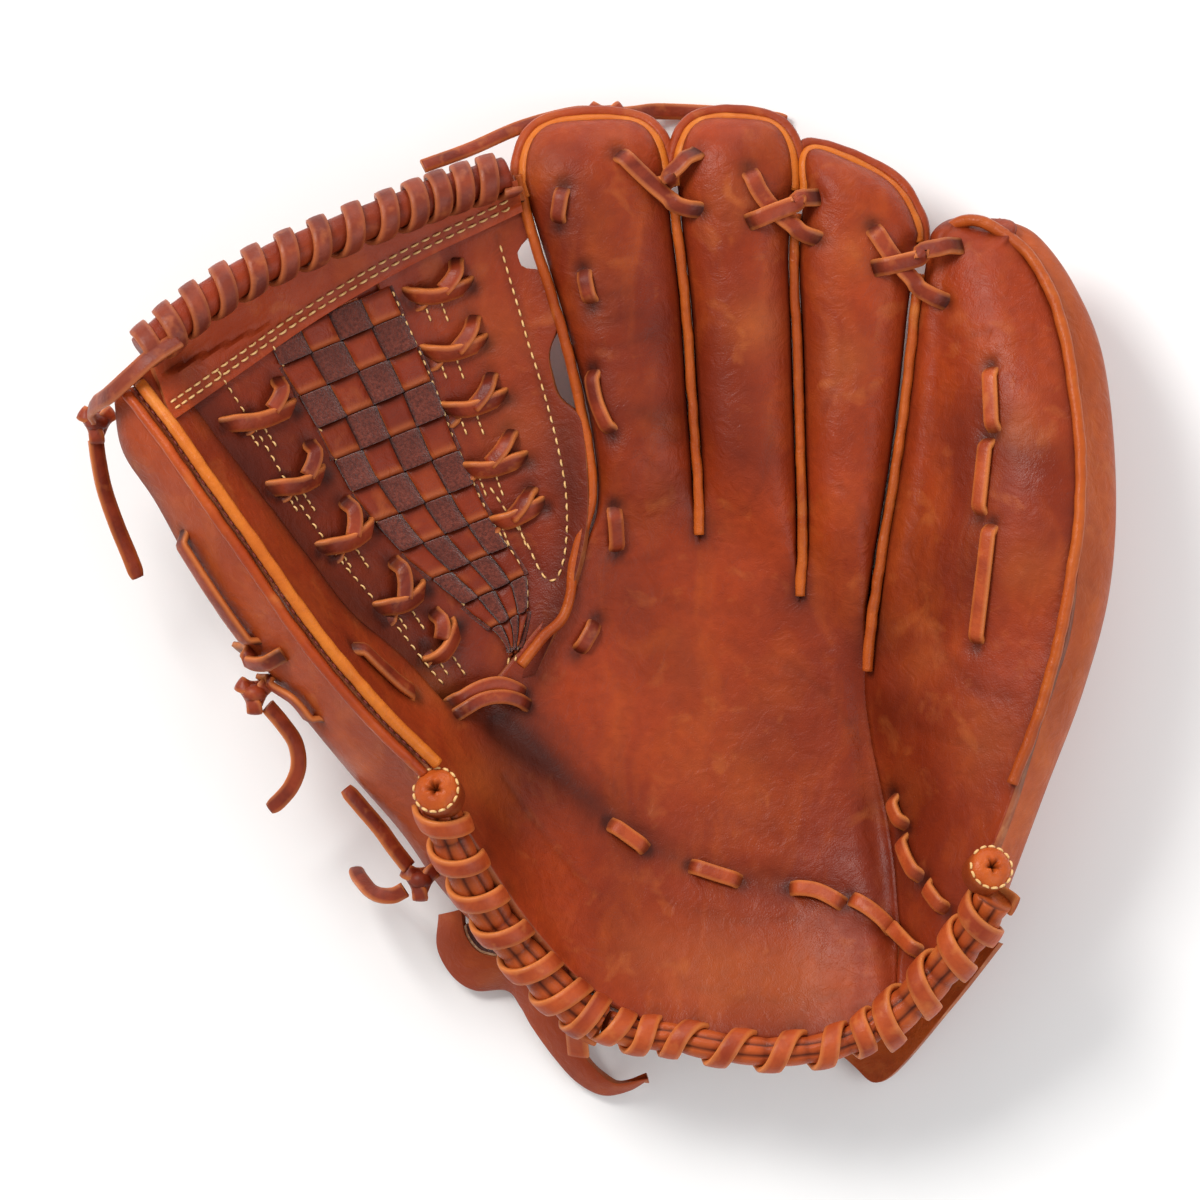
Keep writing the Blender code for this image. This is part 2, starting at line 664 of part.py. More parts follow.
def knot(name, at, origin):
    """A tight overhand knot, as one squashed ball."""
    mesh = bpy.data.meshes.new(name)
    base = Vector(at) - Vector(origin)
    rings, sides = 5, 8
    verts = [base + Vector((0, KNOT_RADIUS * 1.15, 0))]
    for r in range(1, rings):
        a = math.pi * r / rings
        for i in range(sides):
            b = 2.0 * math.pi * i / sides
            around = Vector((math.sin(a) * math.cos(b), 1.15 * math.cos(a),
                             math.sin(a) * math.sin(b)))
            verts.append(base + around * KNOT_RADIUS)
    verts.append(base - Vector((0, KNOT_RADIUS * 1.15, 0)))
    faces = []
    for i in range(sides):
        j = (i + 1) % sides
        faces.append((0, 1 + j, 1 + i))
        for r in range(rings - 2):
            low, high = 1 + r * sides, 1 + (r + 1) * sides
            faces.append((low + i, low + j, high + j, high + i))
        faces.append((len(verts) - 1, 1 + (rings - 2) * sides + i, 1 + (rings - 2) * sides + j))
    mesh.from_pydata([v * MM for v in verts], [], faces)
    mesh.shade_smooth()
    new_object(name, mesh, "lace_rawhide", origin)


def make_little_side():
    origin = (LITTLE_FOLD_X, 0.0, LITTLE_FOLD_Z)
    front = patch(LITTLE_INNER, LITTLE_RIM, LITTLE_ROWS, 7, LITTLE_BULGE, None, 0.0, 0.94)
    sheet("little_palm_leather", [front], SHELL_HIDE, "palm_leather", origin)
    edges = (LITTLE_RIM, LITTLE_OUTER, LITTLE_UNDER, LITTLE_LAST)
    back = section_patch(edges, LITTLE_ROWS, 9, 0.055, 1.0)
    sheet("little_back", [back], BACK_HIDE, "back_leather", origin)
    pad = patch(LITTLE_INNER, LITTLE_RIM, LITTLE_ROWS, 4, LITTLE_BULGE, None, 0.15, 0.7)
    drop = Vector((0, 0, -LITTLE_PAD_DEPTH))
    pad = [[p + drop for p in row] for row in pad[1:12]]
    sheet("little_pad", [pad], PAD_FELT, "pad_felt", origin)
    rim = spline(LITTLE_RIM, 30)[1:26]
    strip("little_welt", shifted(rim, 0.0, 1.6), SLIT_WELT, "welt_leather", origin)


def make_plugs_and_knots():
    thumb, little = THUMB_FOLD_HEEL, (LITTLE_FOLD_X, 0.0, LITTLE_FOLD_Z)
    plug("thumb_heel_plug", THUMB_PLUG, thumb)
    plug("little_heel_plug", LITTLE_PLUG, little)
    for name, at in KNOTS.items():
        knot(name, at, (0, 0, 0) if name == "index_tip_knot" else thumb)
    for name, route in TAILS.items():
        home = (0, 0, 0) if name == "index_tip_tail" else thumb
        strip(name, spline(route, 14), TAIL_RADIUS, "lace_rawhide", home, CORD_SIDES)


def make_face_laces():
    """Laces that lie along the leather: in the crease, along the stalls, between the tips."""
    little = (LITTLE_FOLD_X, 0.0, LITTLE_FOLD_Z)
    strip("palm_crease_lace", spline(CREASE_LACE, 16), LACE_RADIUS, "lace_rawhide")
    strip("index_lace", spline(INDEX_LACE, 16), LACE_RADIUS, "lace_rawhide")
    strip("little_lace", spline(LITTLE_LACE, 14), LACE_RADIUS, "lace_rawhide", little)
    strip("index_middle_tip_lace", spline(TIP_LACES[0], 12), LACE_RADIUS, "lace_rawhide")
    strip("middle_ring_tip_lace", spline(TIP_LACES[1], 12), LACE_RADIUS, "lace_rawhide")
    strip("ring_little_tip_lace", spline(TIP_LACES[2], 12), LACE_RADIUS, "lace_rawhide", little)
    thumb = THUMB_FOLD_HEEL
    strip("thumb_outer_lace", spline(THUMB_LACE, 14), LACE_RADIUS, "lace_rawhide", thumb)


def make_wrist_strap():
    for name, lift, hide, slot in (
        ("wrist_strap", 0.0, STRAP_HIDE, "back_leather"),
        ("wrist_strap_lining", STRAP_HIDE + 0.5, LINING_HIDE, "lining_leather"),
    ):
        grid = []
        for x, y, z, half in STRAP_STATIONS:
            rise = Vector((0, 0, z + lift))
            grid.append([Vector((x, y - half, 0)) + rise, Vector((x + 3, y, 0)) + rise,
                         Vector((x + 6, y + half, 0)) + rise])
        sheet(name, [grid], hide, slot, STRAP_HINGE)


clear_scene()
make_palm()
make_finger_backs()
make_hand_back()
make_finger_trim()
make_thumb_side()
make_web()
make_heel()
make_little_side()
make_plugs_and_knots()
make_face_laces()
make_wrist_strap()
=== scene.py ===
"""Looks of the fielder's glove: leather shells, welts, rawhide laces, woven web and stitching.

Everything is placed in the CAD frame. Lengths in the tables below are millimetres.
"""

import math

import bpy
import numpy as np
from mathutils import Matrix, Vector, noise
from mathutils.bvhtree import BVHTree


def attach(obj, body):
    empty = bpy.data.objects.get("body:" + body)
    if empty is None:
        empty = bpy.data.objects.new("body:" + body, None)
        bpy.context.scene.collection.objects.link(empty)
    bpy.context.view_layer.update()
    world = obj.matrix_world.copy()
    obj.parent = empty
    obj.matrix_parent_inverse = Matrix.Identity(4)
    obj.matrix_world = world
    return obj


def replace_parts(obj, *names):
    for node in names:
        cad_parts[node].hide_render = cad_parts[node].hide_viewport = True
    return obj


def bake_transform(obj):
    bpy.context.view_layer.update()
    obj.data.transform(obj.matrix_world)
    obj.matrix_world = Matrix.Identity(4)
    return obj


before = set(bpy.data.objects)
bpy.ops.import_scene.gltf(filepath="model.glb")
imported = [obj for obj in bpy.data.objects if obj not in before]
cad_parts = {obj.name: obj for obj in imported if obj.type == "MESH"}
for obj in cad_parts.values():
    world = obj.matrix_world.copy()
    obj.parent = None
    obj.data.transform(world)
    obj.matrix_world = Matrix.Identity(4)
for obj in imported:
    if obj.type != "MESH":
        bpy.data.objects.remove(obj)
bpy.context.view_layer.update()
MM = 0.001

# ---------------------------------------------------------------- camera and light
CAMERA_HEIGHT = 5.0
VIEW_WIDTH = 0.42
SENSOR_MM = 36.0
MID_HEIGHT = 0.05
# Lights: name, place, size, power and tint
LIGHTS = (
    ("key", (-0.9, 0.9, 1.5), 0.7, 28.0, (1.0, 0.98, 0.95)),
    ("fill", (1.2, -0.5, 1.2), 1.1, 9.0, (0.96, 0.98, 1.0)),
    ("rim", (0.2, 1.5, 0.5), 0.7, 6.0, (1.0, 1.0, 1.0)),
)
LIT_POINT = (0.0, 0.0, 0.04)
BACKDROP_LIGHT = 0.56
FLOOR_HALF = 4.0
FLOOR_DROP = 0.0006


def placed(name, data):
    """A new object in the scene."""
    obj = bpy.data.objects.new(name, data)
    bpy.context.collection.objects.link(obj)
    return obj


def make_camera():
    """Straight above the glove, as the photograph was taken."""
    data = bpy.data.cameras.new("camera")
    data.sensor_width = SENSOR_MM
    data.lens = SENSOR_MM * (CAMERA_HEIGHT - MID_HEIGHT) / VIEW_WIDTH
    data.clip_end = 50.0
    camera = placed("camera", data)
    camera.location = (0.0, 0.0, CAMERA_HEIGHT)
    bpy.context.scene.camera = camera


def area_light(name, place, size, power, tint):
    data = bpy.data.lights.new(name, "AREA")
    data.size = size
    data.energy = power
    data.color = tint
    lamp = placed(name, data)
    lamp.location = place
    lamp.rotation_euler = (Vector(LIT_POINT) - Vector(place)).to_track_quat("-Z", "Y").to_euler()


def make_studio():
    """Three soft lights, a bright surrounding and a pale floor."""
    for light in LIGHTS:
        area_light(*light)
    world = bpy.data.worlds.new("studio")
    bpy.context.scene.world = world
    world.use_nodes = True
    backdrop = world.node_tree.nodes["Background"]
    backdrop.inputs["Color"].default_value = (1.0, 1.0, 1.0, 1.0)
    backdrop.inputs["Strength"].default_value = BACKDROP_LIGHT
    bpy.context.scene.view_settings.view_transform = "Standard"
    mesh = bpy.data.meshes.new("floor")
    corners = [(x * FLOOR_HALF, y * FLOOR_HALF, 0) for x, y in ((-1, -1), (1, -1), (1, 1), (-1, 1))]
    mesh.from_pydata(corners, [], [(0, 1, 2, 3)])
    floor = placed("floor", mesh)
    floor.location.z = -FLOOR_DROP
    mat = bpy.data.materials.new("pale_floor")
    mat.use_nodes = True
    shader = mat.node_tree.nodes["Principled BSDF"]
    shader.inputs["Base Color"].default_value = (0.92, 0.92, 0.92, 1.0)
    shader.inputs["Roughness"].default_value = 0.9
    mesh.materials.append(mat)


# ---------------------------------------------------------------- materials
def srgb(r, g, b):
    """Linear colour from the 0 to 255 values a colour picker shows."""
    out = []
    for c in (r, g, b):
        c = c / 255.0
        out.append(c / 12.92 if c <= 0.04045 else ((c + 0.055) / 1.055) ** 2.4)
    return (*out, 1.0)


class Nodes:
    """Short calls for building one material's node tree."""

    def __init__(self, name):
        self.mat = bpy.data.materials.new(name)
        self.mat.use_nodes = True
        self.tree = self.mat.node_tree
        self.shader = self.tree.nodes["Principled BSDF"]
        self.coords = self.tree.nodes.new("ShaderNodeTexCoord").outputs["Object"]

    def set(self, node, key, value):
        if hasattr(value, "is_linked"):
            self.tree.links.new(value, node.inputs[key])
        else:
            node.inputs[key].default_value = value

    def noise(self, scale, detail=3.0, distortion=0.0, stretch=None, offset=None):
        vector = self.coords
        if stretch or offset:
            mapping = self.tree.nodes.new("ShaderNodeMapping")
            self.tree.links.new(self.coords, mapping.inputs["Vector"])
            mapping.inputs["Scale"].default_value = stretch or (1, 1, 1)
            mapping.inputs["Location"].default_value = offset or (0, 0, 0)
            vector = mapping.outputs["Vector"]
        node = self.tree.nodes.new("ShaderNodeTexNoise")
        self.tree.links.new(vector, node.inputs["Vector"])
        node.inputs["Scale"].default_value = scale
        node.inputs["Detail"].default_value = detail
        node.inputs["Distortion"].default_value = distortion
        return node.outputs["Fac"]

    def cells(self, scale):
        node = self.tree.nodes.new("ShaderNodeTexVoronoi")
        node.feature = "DISTANCE_TO_EDGE"
        self.tree.links.new(self.coords, node.inputs["Vector"])
        node.inputs["Scale"].default_value = scale
        return node.outputs["Distance"]

    def span(self, value, low, high, to_low=0.0, to_high=1.0):
        node = self.tree.nodes.new("ShaderNodeMapRange")
        self.set(node, "Value", value)
        keys = ("From Min", "From Max", "To Min", "To Max")
        for key, limit in zip(keys, (low, high, to_low, to_high)):
            node.inputs[key].default_value = limit
        return node.outputs["Result"]

    def mix(self, share, first, second):
        node = self.tree.nodes.new("ShaderNodeMix")
        node.data_type = "RGBA"
        node.clamp_factor = True
        self.set(node, 0, share)
        self.set(node, 6, first)
        self.set(node, 7, second)
        return node.outputs[2]

    def add(self, a, b):
        node = self.tree.nodes.new("ShaderNodeMath")
        self.set(node, 0, a)
        self.set(node, 1, b)
        return node.outputs[0]

    def tone(self):
        node = self.tree.nodes.new("ShaderNodeAttribute")
        node.attribute_name = "tone"
        split = self.tree.nodes.new("ShaderNodeSeparateColor")
        self.tree.links.new(node.outputs["Color"], split.inputs["Color"])
        return split.outputs[0], split.outputs[1], split.outputs[2]

    def bump(self, height, distance, strength, normal=None):
        node = self.tree.nodes.new("ShaderNodeBump")
        node.inputs["Distance"].default_value = distance
        node.inputs["Strength"].default_value = strength
        self.tree.links.new(height, node.inputs["Height"])
        if normal is not None:
            self.tree.links.new(normal, node.inputs["Normal"])
        return node.outputs["Normal"]

    def finish(self, color, roughness, normal, **fixed):
        self.set(self.shader, "Base Color", color)
        self.set(self.shader, "Roughness", roughness)
        self.tree.links.new(normal, self.shader.inputs["Normal"])
        for key, value in fixed.items():
            self.shader.inputs[key.replace("_", " ")].default_value = value
        return self.mat


def leather(name, base, dark, warm, pale, gloss=0.40, offset=(0, 0, 0)):
    """Oiled hide: soft dark and orange clouds, fine grain, scuffs, painted shade at seams.

    The tone attribute holds red for painted shade, green for paling from wear, cut edges and
    painted highlight, blue for warmth.
    """
    n = Nodes(name)
    shade, paling, warmth = n.tone()
    cloud = n.noise(13.0, 3.0, 0.6, offset=offset)
    streak = n.noise(30.0, 4.0, 1.2, stretch=(1.5, 0.8, 1.0), offset=offset)
    fine = n.noise(240.0, 4.0)
    color = n.mix(n.span(cloud, 0.40, 0.75, 0.0, 0.85), base, dark)
    warm_share = n.add(n.span(streak, 0.48, 0.80, 0.0, 0.45), n.span(warmth, 0.5, 1.0))
    color = n.mix(warm_share, color, warm)
    color = n.mix(n.span(fine, 0.35, 0.75, 0.0, 0.28), color, dark)
    color = n.mix(n.span(n.noise(75.0, 5.0, 0.4), 0.60, 0.76, 0.0, 0.30), color, pale)
    # Painted shade: darker towards a deep brown where the tone's red is set
    color = n.mix(shade, color, srgb(52, 16, 8))
    # Paler where the tone's green is set: wear, cut edges and painted highlight
    color = n.mix(paling, color, pale)
    rough = n.span(n.noise(60.0, 3.0), 0.3, 0.7, gloss - 0.07, gloss + 0.12)
    pores = n.bump(n.cells(1100.0), 0.00035, 0.35)
    normal = n.bump(n.noise(150.0, 5.0, 1.5), 0.0012, 0.42, pores)
    return n.finish(color, rough, normal, Specular_IOR_Level=0.2)


def rawhide(name, base, dark, edge):
    """Lace: a smooth waxed face with fibres along it and a pale cut edge."""
    n = Nodes(name)
    shade, paling, _ = n.tone()
    color = n.mix(n.span(n.noise(55.0, 4.0, 0.8), 0.38, 0.66), base, dark)
    color = n.mix(n.span(n.noise(420.0, 3.0), 0.45, 0.8, 0.0, 0.35), color, dark)
    color = n.mix(n.span(n.noise(160.0, 3.0), 0.58, 0.8, 0.0, 0.35), color, edge)
    # Painted shade where the tone's red is set, where a lace goes down into its hole
    color = n.mix(shade, color, srgb(46, 15, 9))
    color = n.mix(paling, color, edge)
    rough = n.span(n.noise(90.0, 3.0), 0.3, 0.7, 0.36, 0.55)
    normal = n.bump(n.noise(700.0, 4.0, 0.5), 0.0005, 0.4)
    return n.finish(color, rough, normal, Specular_IOR_Level=0.28)


def suede(name, base, dark):
    """Rough side of a hide, with a dull nap."""
    n = Nodes(name)
    shade, _, _ = n.tone()
    color = n.mix(n.span(n.noise(900.0, 4.0), 0.35, 0.65), base, dark)
    color = n.mix(n.span(n.noise(90.0, 3.0), 0.4, 0.7, 0.0, 0.5), color, dark)
    # Painted shade where the tone's red is set, where a strip dips under the next
    color = n.mix(shade, color, srgb(40, 14, 10))
    normal = n.bump(n.noise(1400.0, 5.0), 0.001, 0.8)
    return n.finish(color, 0.95, normal, Specular_IOR_Level=0.15, Sheen_Weight=0.35,
                    Sheen_Roughness=0.5)


def thread(name, base, dark):
    """Waxed sewing thread."""
    n = Nodes(name)
    color = n.mix(n.span(n.noise(900.0, 2.0), 0.3, 0.7), base, dark)
    normal = n.bump(n.noise(2600.0, 2.0, 0.0), 0.0002, 0.6)
    return n.finish(color, 0.6, normal)


def felt(name, base, dark):
    """Pressed wool, for the pads and the strap's fleece."""
    n = Nodes(name)
    color = n.mix(n.span(n.noise(500.0, 6.0), 0.35, 0.65), base, dark)
    normal = n.bump(n.noise(1100.0, 6.0, 0.6), 0.0012, 0.9)
    return n.finish(color, 0.97, normal, Sheen_Weight=0.3)


def make_materials():
    return {
        "palm": leather("palm_hide", srgb(155, 56, 21), srgb(96, 26, 10), srgb(184, 84, 29),
                        srgb(200, 111, 53)),
        "back": leather("back_hide", srgb(167, 67, 25), srgb(118, 38, 14), srgb(200, 100, 35),
                        srgb(210, 122, 59), offset=(3, 1, 2)),
        "web": leather("web_hide", srgb(139, 49, 21), srgb(98, 29, 13), srgb(165, 71, 27),
                       srgb(192, 102, 50), offset=(7, 4, 1)),
        "welt": leather("welt_hide", srgb(180, 82, 27), srgb(127, 46, 15), srgb(212, 115, 38),
                        srgb(227, 146, 67), gloss=0.34, offset=(1, 8, 3)),
        "binding": leather("binding_hide", srgb(202, 107, 33), srgb(165, 71, 21),
                           srgb(223, 135, 46), srgb(237, 167, 84), gloss=0.34,
                           offset=(5, 8, 2)),
        "lace": rawhide("lace_rawhide", srgb(147, 56, 26), srgb(102, 31, 14), srgb(218, 127, 65)),
        "wrap": rawhide("wrap_rawhide", srgb(135, 56, 32), srgb(102, 36, 21), srgb(202, 116, 67)),
        "suede": suede("weave_suede", srgb(120, 56, 42), srgb(84, 35, 26)),
        "thread": thread("cream_thread", srgb(240, 200, 138), srgb(216, 164, 96)),
        "dark_thread": thread("dark_thread", srgb(120, 34, 14), srgb(84, 22, 10)),
        "band": leather("band_hide", srgb(174, 69, 32), srgb(147, 51, 21), srgb(204, 96, 36),
                        srgb(218, 127, 68), offset=(4, 4, 1)),
        "pillow": leather("pillow_hide", srgb(176, 71, 27), srgb(133, 42, 15), srgb(204, 100, 35),
                          srgb(221, 135, 67), gloss=0.34, offset=(9, 2, 5)),
        "heel_lace": rawhide("heel_rawhide", srgb(178, 76, 31), srgb(141, 50, 20),
                             srgb(223, 135, 68)),
        "edge": rawhide("cut_edge", srgb(176, 96, 52), srgb(140, 66, 34), srgb(228, 168, 112)),
        "lining": leather("lining_hide", srgb(190, 140, 96), srgb(160, 108, 68),
                          srgb(206, 158, 104), srgb(226, 190, 146), gloss=0.6,
                          offset=(2, 2, 9)),
        "felt": felt("grey_felt", srgb(196, 186, 170), srgb(150, 140, 126)),
        "fleece": felt("tan_fleece", srgb(214, 176, 140), srgb(160, 112, 78)),
    }


# ---------------------------------------------------------------- mesh tools
def spline(points, count):
    """Count samples of a Catmull-Rom curve through the first axis of points."""
    p = np.asarray(points, float)
    q = np.concatenate([(2 * p[0] - p[1])[None], p, (2 * p[-1] - p[-2])[None]])
    at = np.linspace(0.0, len(p) - 1.0, count)
    k = np.minimum(at.astype(int), len(p) - 2)
    f = (at - k).reshape((-1,) + (1,) * (p.ndim - 1))
    a, b, c, d = q[k], q[k + 1], q[k + 2], q[k + 3]
    return (b + 0.5 * f * (c - a) + 0.5 * f * f * (2 * a - 5 * b + 4 * c - d)
            + 0.5 * f ** 3 * (3 * b - a - 3 * c + d))


def run_along(path):
    """Distance from the start of a path at each of its points."""
    return np.concatenate([[0.0], np.cumsum(np.linalg.norm(np.diff(path, axis=0), axis=1))])


def even(points, step):
    """A smooth curve through points, resampled at about step millimetres."""
    fine = spline(points, 40 * len(points))
    run = run_along(fine)
    count = max(3, int(round(run[-1] / step)) + 1)
    at = np.linspace(0.0, run[-1], count)
    return np.stack([np.interp(at, run, fine[:, k]) for k in range(fine.shape[1])], axis=1)


def unit(v):
    """Each vector at length 1."""
    return v / np.maximum(np.linalg.norm(v, axis=-1, keepdims=True), 1e-9)


def side_and_top(path, up):
    """Unit directions across a path and out of its upper face, at each of its points."""
    ahead = unit(np.gradient(path, axis=0))
    side = unit(np.cross(ahead, up))
    return side, unit(np.cross(side, ahead))


def quads(index):
    """Faces between neighbouring rows and columns of a grid of vertex numbers."""
    corners = (index[:-1, :-1], index[:-1, 1:], index[1:, 1:], index[1:, :-1])
    return np.stack(corners, -1).reshape(-1, 4)


def paint(mesh, tones):
    """Stores painted shade, paling and warmth at each vertex for the materials to read."""
    rgba = np.ones((len(tones), 4), np.float32)
    rgba[:, :3] = np.clip(tones, 0.0, 1.0)
    attribute = mesh.attributes.new("tone", "FLOAT_COLOR", "POINT")
    attribute.data.foreach_set("color", rgba.ravel())
    mesh.shade_smooth()


def grid_normals(grid):
    """The outward direction at each point of a grid."""
    along = np.gradient(grid, axis=0)
    across = np.gradient(grid, axis=1)
    return unit(np.cross(across, along))


def smoothstep(x):
    """0 below 0, 1 above 1 and a smooth rise between."""
    x = np.clip(x, 0.0, 1.0)
    return x * x * (3.0 - 2.0 * x)


def rough_field(points, scale, seed=0.0):
    """Smooth noise in -1..1 at points given in millimetres."""
    flat = points.reshape(-1, 3) / scale + seed
    return np.array([noise.noise(p) for p in flat]).reshape(points.shape[:-1])


# A thong's cut as half widths, half heights and wear: crowned face, rounded edges, flat underside
THONG_CUT = (
    (-0.50, 0.10, 1.0), (-0.46, 0.40, 0.55), (-0.25, 0.52, 0.0), (0.0, 0.56, 0.0),
    (0.25, 0.52, 0.0), (0.46, 0.40, 0.55), (0.50, 0.10, 1.0), (0.46, -0.42, 0.8),
    (0.0, -0.46, 0.3), (-0.46, -0.42, 0.8),
)
# Height and thickness of a stitch from one end to the other
STITCH_ARCH = np.array([-0.35, 0.15, 0.3, 0.15, -0.35])
STITCH_GIRTH = np.array([0.75, 1.0, 1.0, 1.0, 0.75])


class Part:
    """Collects sheets, thongs and stitches, then makes one object of them."""

    def __init__(self):
        self.verts, self.faces, self.tones, self.slots, self.count = [], [], [], [], 0

    def add(self, verts, faces, tones, slot=0):
        """Points, faces that number them from 0, and the tone at each point."""
        self.verts.append(verts)
        self.tones.append(tones)
        self.faces += [[int(v) + self.count for v in face] for face in faces]
        self.slots += [slot] * len(faces)
        self.count += len(verts)

    def sheet(self, grid, thick, tone, edge_wear):
        """A strip: grid is its outer face; a rounded cut edge joins it to its inner face."""
        rows, cols = grid.shape[:2]
        normals = grid_normals(grid)
        index = np.arange(rows * cols).reshape(rows, cols)
        ring = np.concatenate([index[0, :], index[1:, -1], index[-1, -2::-1], index[-2:0:-1, 0]])
        total = rows * cols
        outer_flat, inner_flat = grid.reshape(-1, 3), (grid - normals * thick).reshape(-1, 3)
        ahead = unit(np.roll(outer_flat[ring], -1, axis=0) - np.roll(outer_flat[ring], 1, axis=0))
        outward = unit(np.cross(ahead, normals.reshape(-1, 3)[ring]))
        mid_ring = (outer_flat[ring] + inner_flat[ring]) / 2 + outward * (0.22 * thick)
        outer_faces = quads(index)
        faces = [*outer_faces, *(outer_faces[:, ::-1] + total)]
        size = len(ring)
        for i in range(size):
            j = (i + 1) % size
            faces.append((ring[j], ring[i], 2 * total + i, 2 * total + j))
            faces.append((2 * total + j, 2 * total + i, ring[i] + total, ring[j] + total))
        edge_tone = np.zeros((size, 3))
        edge_tone[:, 1] = edge_wear
        tones = np.concatenate([tone.reshape(-1, 3), tone.reshape(-1, 3) * 0.5, edge_tone])
        self.add(np.concatenate([outer_flat, inner_flat, mid_ring]), faces, tones)

    def thong(self, path, up, width, thick, taper=1.0, wear=0.8, shade=0.0):
        """A flat lace along path, its face towards up, with a crowned face and cut edges."""
        side, top = side_and_top(path, up)
        scale = np.broadcast_to(taper, len(path))
        rings, tones = [], []
        for across, height, paling in THONG_CUT:
            rings.append(path + side * (across * width * scale)[:, None] + top * (height * thick))
            ring_tone = np.zeros((len(path), 3))
            ring_tone[:, 0] = shade
            ring_tone[:, 1] = paling * wear
            tones.append(ring_tone)
        self.tube(np.stack(rings, 1), np.stack(tones, 1))

    def tube(self, rings, tones, slot=0):
        """A closed strip through rings of points, with flat ends."""
        count, sides = rings.shape[:2]
        faces = []
        for i in range(count - 1):
            low, high = i * sides, (i + 1) * sides
            for k in range(sides):
                m = (k + 1) % sides
                faces.append((low + k, low + m, high + m, high + k))
        faces.append(tuple(range(sides))[::-1])
        faces.append(tuple(range((count - 1) * sides, count * sides)))
        self.add(rings.reshape(-1, 3), faces, tones.reshape(-1, 3), slot)

    def round_strip(self, path, radius, sides=10, slot=0, flat=1.0, up=(0, 0, 1)):
        """A round or flattened strip; radius may change along it."""
        side, top = side_and_top(path, up)
        radius = np.broadcast_to(radius, len(path))[:, None]
        rings = []
        for k in range(sides):
            a = 2.0 * math.pi * k / sides
            rings.append(path + side * radius * math.cos(a) + top * radius * flat * math.sin(a))
        rings = np.stack(rings, 1)[:, ::-1]
        self.tube(rings, np.zeros(rings.shape), slot)

    def stitches(self, path, up, length, gap, radius, slot=0, lift=0.15):
        """A row of thread stitches that dip into the hide at both ends."""
        up = np.broadcast_to(up, path.shape)
        run = run_along(path)
        at = 0.5 * gap
        while at + length < run[-1]:
            s = np.linspace(at, at + length, len(STITCH_ARCH))
            line = np.stack([np.interp(s, run, path[:, k]) for k in range(3)], 1)
            n = unit(np.stack([np.interp(s, run, up[:, k]) for k in range(3)], 1))
            line = line + n * (STITCH_ARCH + lift)[:, None]
            self.round_strip(line, STITCH_GIRTH * radius, 6, slot, up=n)
            at += length + gap

    def object(self, name, materials):
        """One scene object of everything collected so far."""
        mesh = bpy.data.meshes.new(name)
        verts = np.concatenate(self.verts) * MM
        mesh.from_pydata(verts.tolist(), [], self.faces)
        for mat in materials:
            mesh.materials.append(mat)
        mesh.polygons.foreach_set("material_index", self.slots)
        paint(mesh, np.concatenate(self.tones))
        mesh.update()
        return placed(name, mesh)


# ---------------------------------------------------------------- hides: palm, fingers, thumb
SHELL_HIDE = 4.2
BACK_HIDE = 3.0
WEB_HIDE = 3.2
STRAP_HIDE = 2.6
LINING_HIDE = 1.5
PAD_FELT = 3.2
CROWN = 10.5
LITTLE_CROWN = 5.0
SLIT_HALF = 1.9
TIP_DROP = 7.0
FOLD_DEPTH = 4.5
FOLD_HALF = 5.5
# Sampling: points per net column, per net row and round a tip
FINE = 20
SPAN_ROWS = 18
TIP_STEPS = 12
LITTLE_TIP_STEPS = 8

# Rows from the heel to the finger roots; columns from the thumb's rim to the little finger's
# rim. Columns 3 to 6 are the left index edge and the three slits.
PALM_NET = (
    ((-10, -130, 53), (-3, -136, 50), (8, -144, 48), (22, -149, 48), (46, -153, 50),
     (76, -153, 51), (104, -141, 54), (118, -130, 60), (129, -116, 67)),
    ((-28, -108, 64), (-18, -106, 50), (-2, -108, 41), (16, -110, 36), (42, -112, 35),
     (72, -114, 37), (104, -104, 45), (120, -102, 61), (134, -94, 73)),
    ((-46, -80, 79), (-34, -78, 52), (-14, -78, 37), (10, -76, 31), (38, -76, 29),
     (70, -78, 31), (101, -78, 37), (122, -78, 60), (143, -70, 76)),
    ((-62, -54, 92), (-50, -51, 58), (-28, -46, 38), (4, -34, 32), (35, -30, 30),
     (68, -38, 31), (95, -48, 36), (124, -50, 63), (152, -42, 78)),
    ((-77, -39, 100), (-66, -36, 66), (-40, -31, 41), (-9, 3, 39), (35, 19, 36),
     (70, -2, 34), (93, -25, 37), (128, -20, 66), (162, -12, 79)),
)
# Onwards from the palm's last row to the tips
FINGER_NET = {
    3: ((-1, 32, 42), (-3, 60, 43), (-10, 90, 44), (-18, 117, 45), (-27, 146, 46)),
    4: ((34, 46, 38), (32, 75, 39), (30, 105, 41), (27, 130, 43), (25, 148, 44)),
    5: ((71, 25, 37), (70, 60, 39), (69, 95, 41), (68, 122, 43), (70, 146, 44)),
    6: ((97, 8, 40), (103, 45, 41), (107, 75, 41), (110, 103, 42), (114, 128, 43)),
    7: ((133, 12, 69), (137, 44, 68), (138, 72, 64), (135, 98, 58), (133, 121, 50)),
    8: ((167, 16, 79), (168, 50, 75), (164, 80, 67), (158, 105, 58), (145, 127, 50)),
}
# Each stall with its left column, its tip's x and y, and the height of its back at root and tip
FINGERS = (
    ("index", 3, (-3, 168.5), 1.0, 14.0),
    ("middle", 4, (48, 169), 0.6, 15.0),
    ("ring", 5, (88, 154), 1.0, 16.0),
)
LITTLE_TIP = (134, 134)
# The thumb's front beside its welt: rows onwards from the palm's last row to the web's roll
THUMB_NET = (
    ((-98, -14, 108), (-88, -14, 84), (-80, -9, 62), (-70, -4, 48)),
    ((-119, 16, 112), (-110, 15, 92), (-101, 16, 74), (-92, 18, 62)),
    ((-138, 43, 112), (-130, 41, 96), (-121, 43, 82), (-112, 45, 72)),
    ((-152, 62, 109), (-145, 63, 98), (-138, 65, 90), (-130, 67, 84)),
    ((-163, 76, 104), (-158, 80, 98), (-152, 84, 92), (-146, 88, 88)),
)
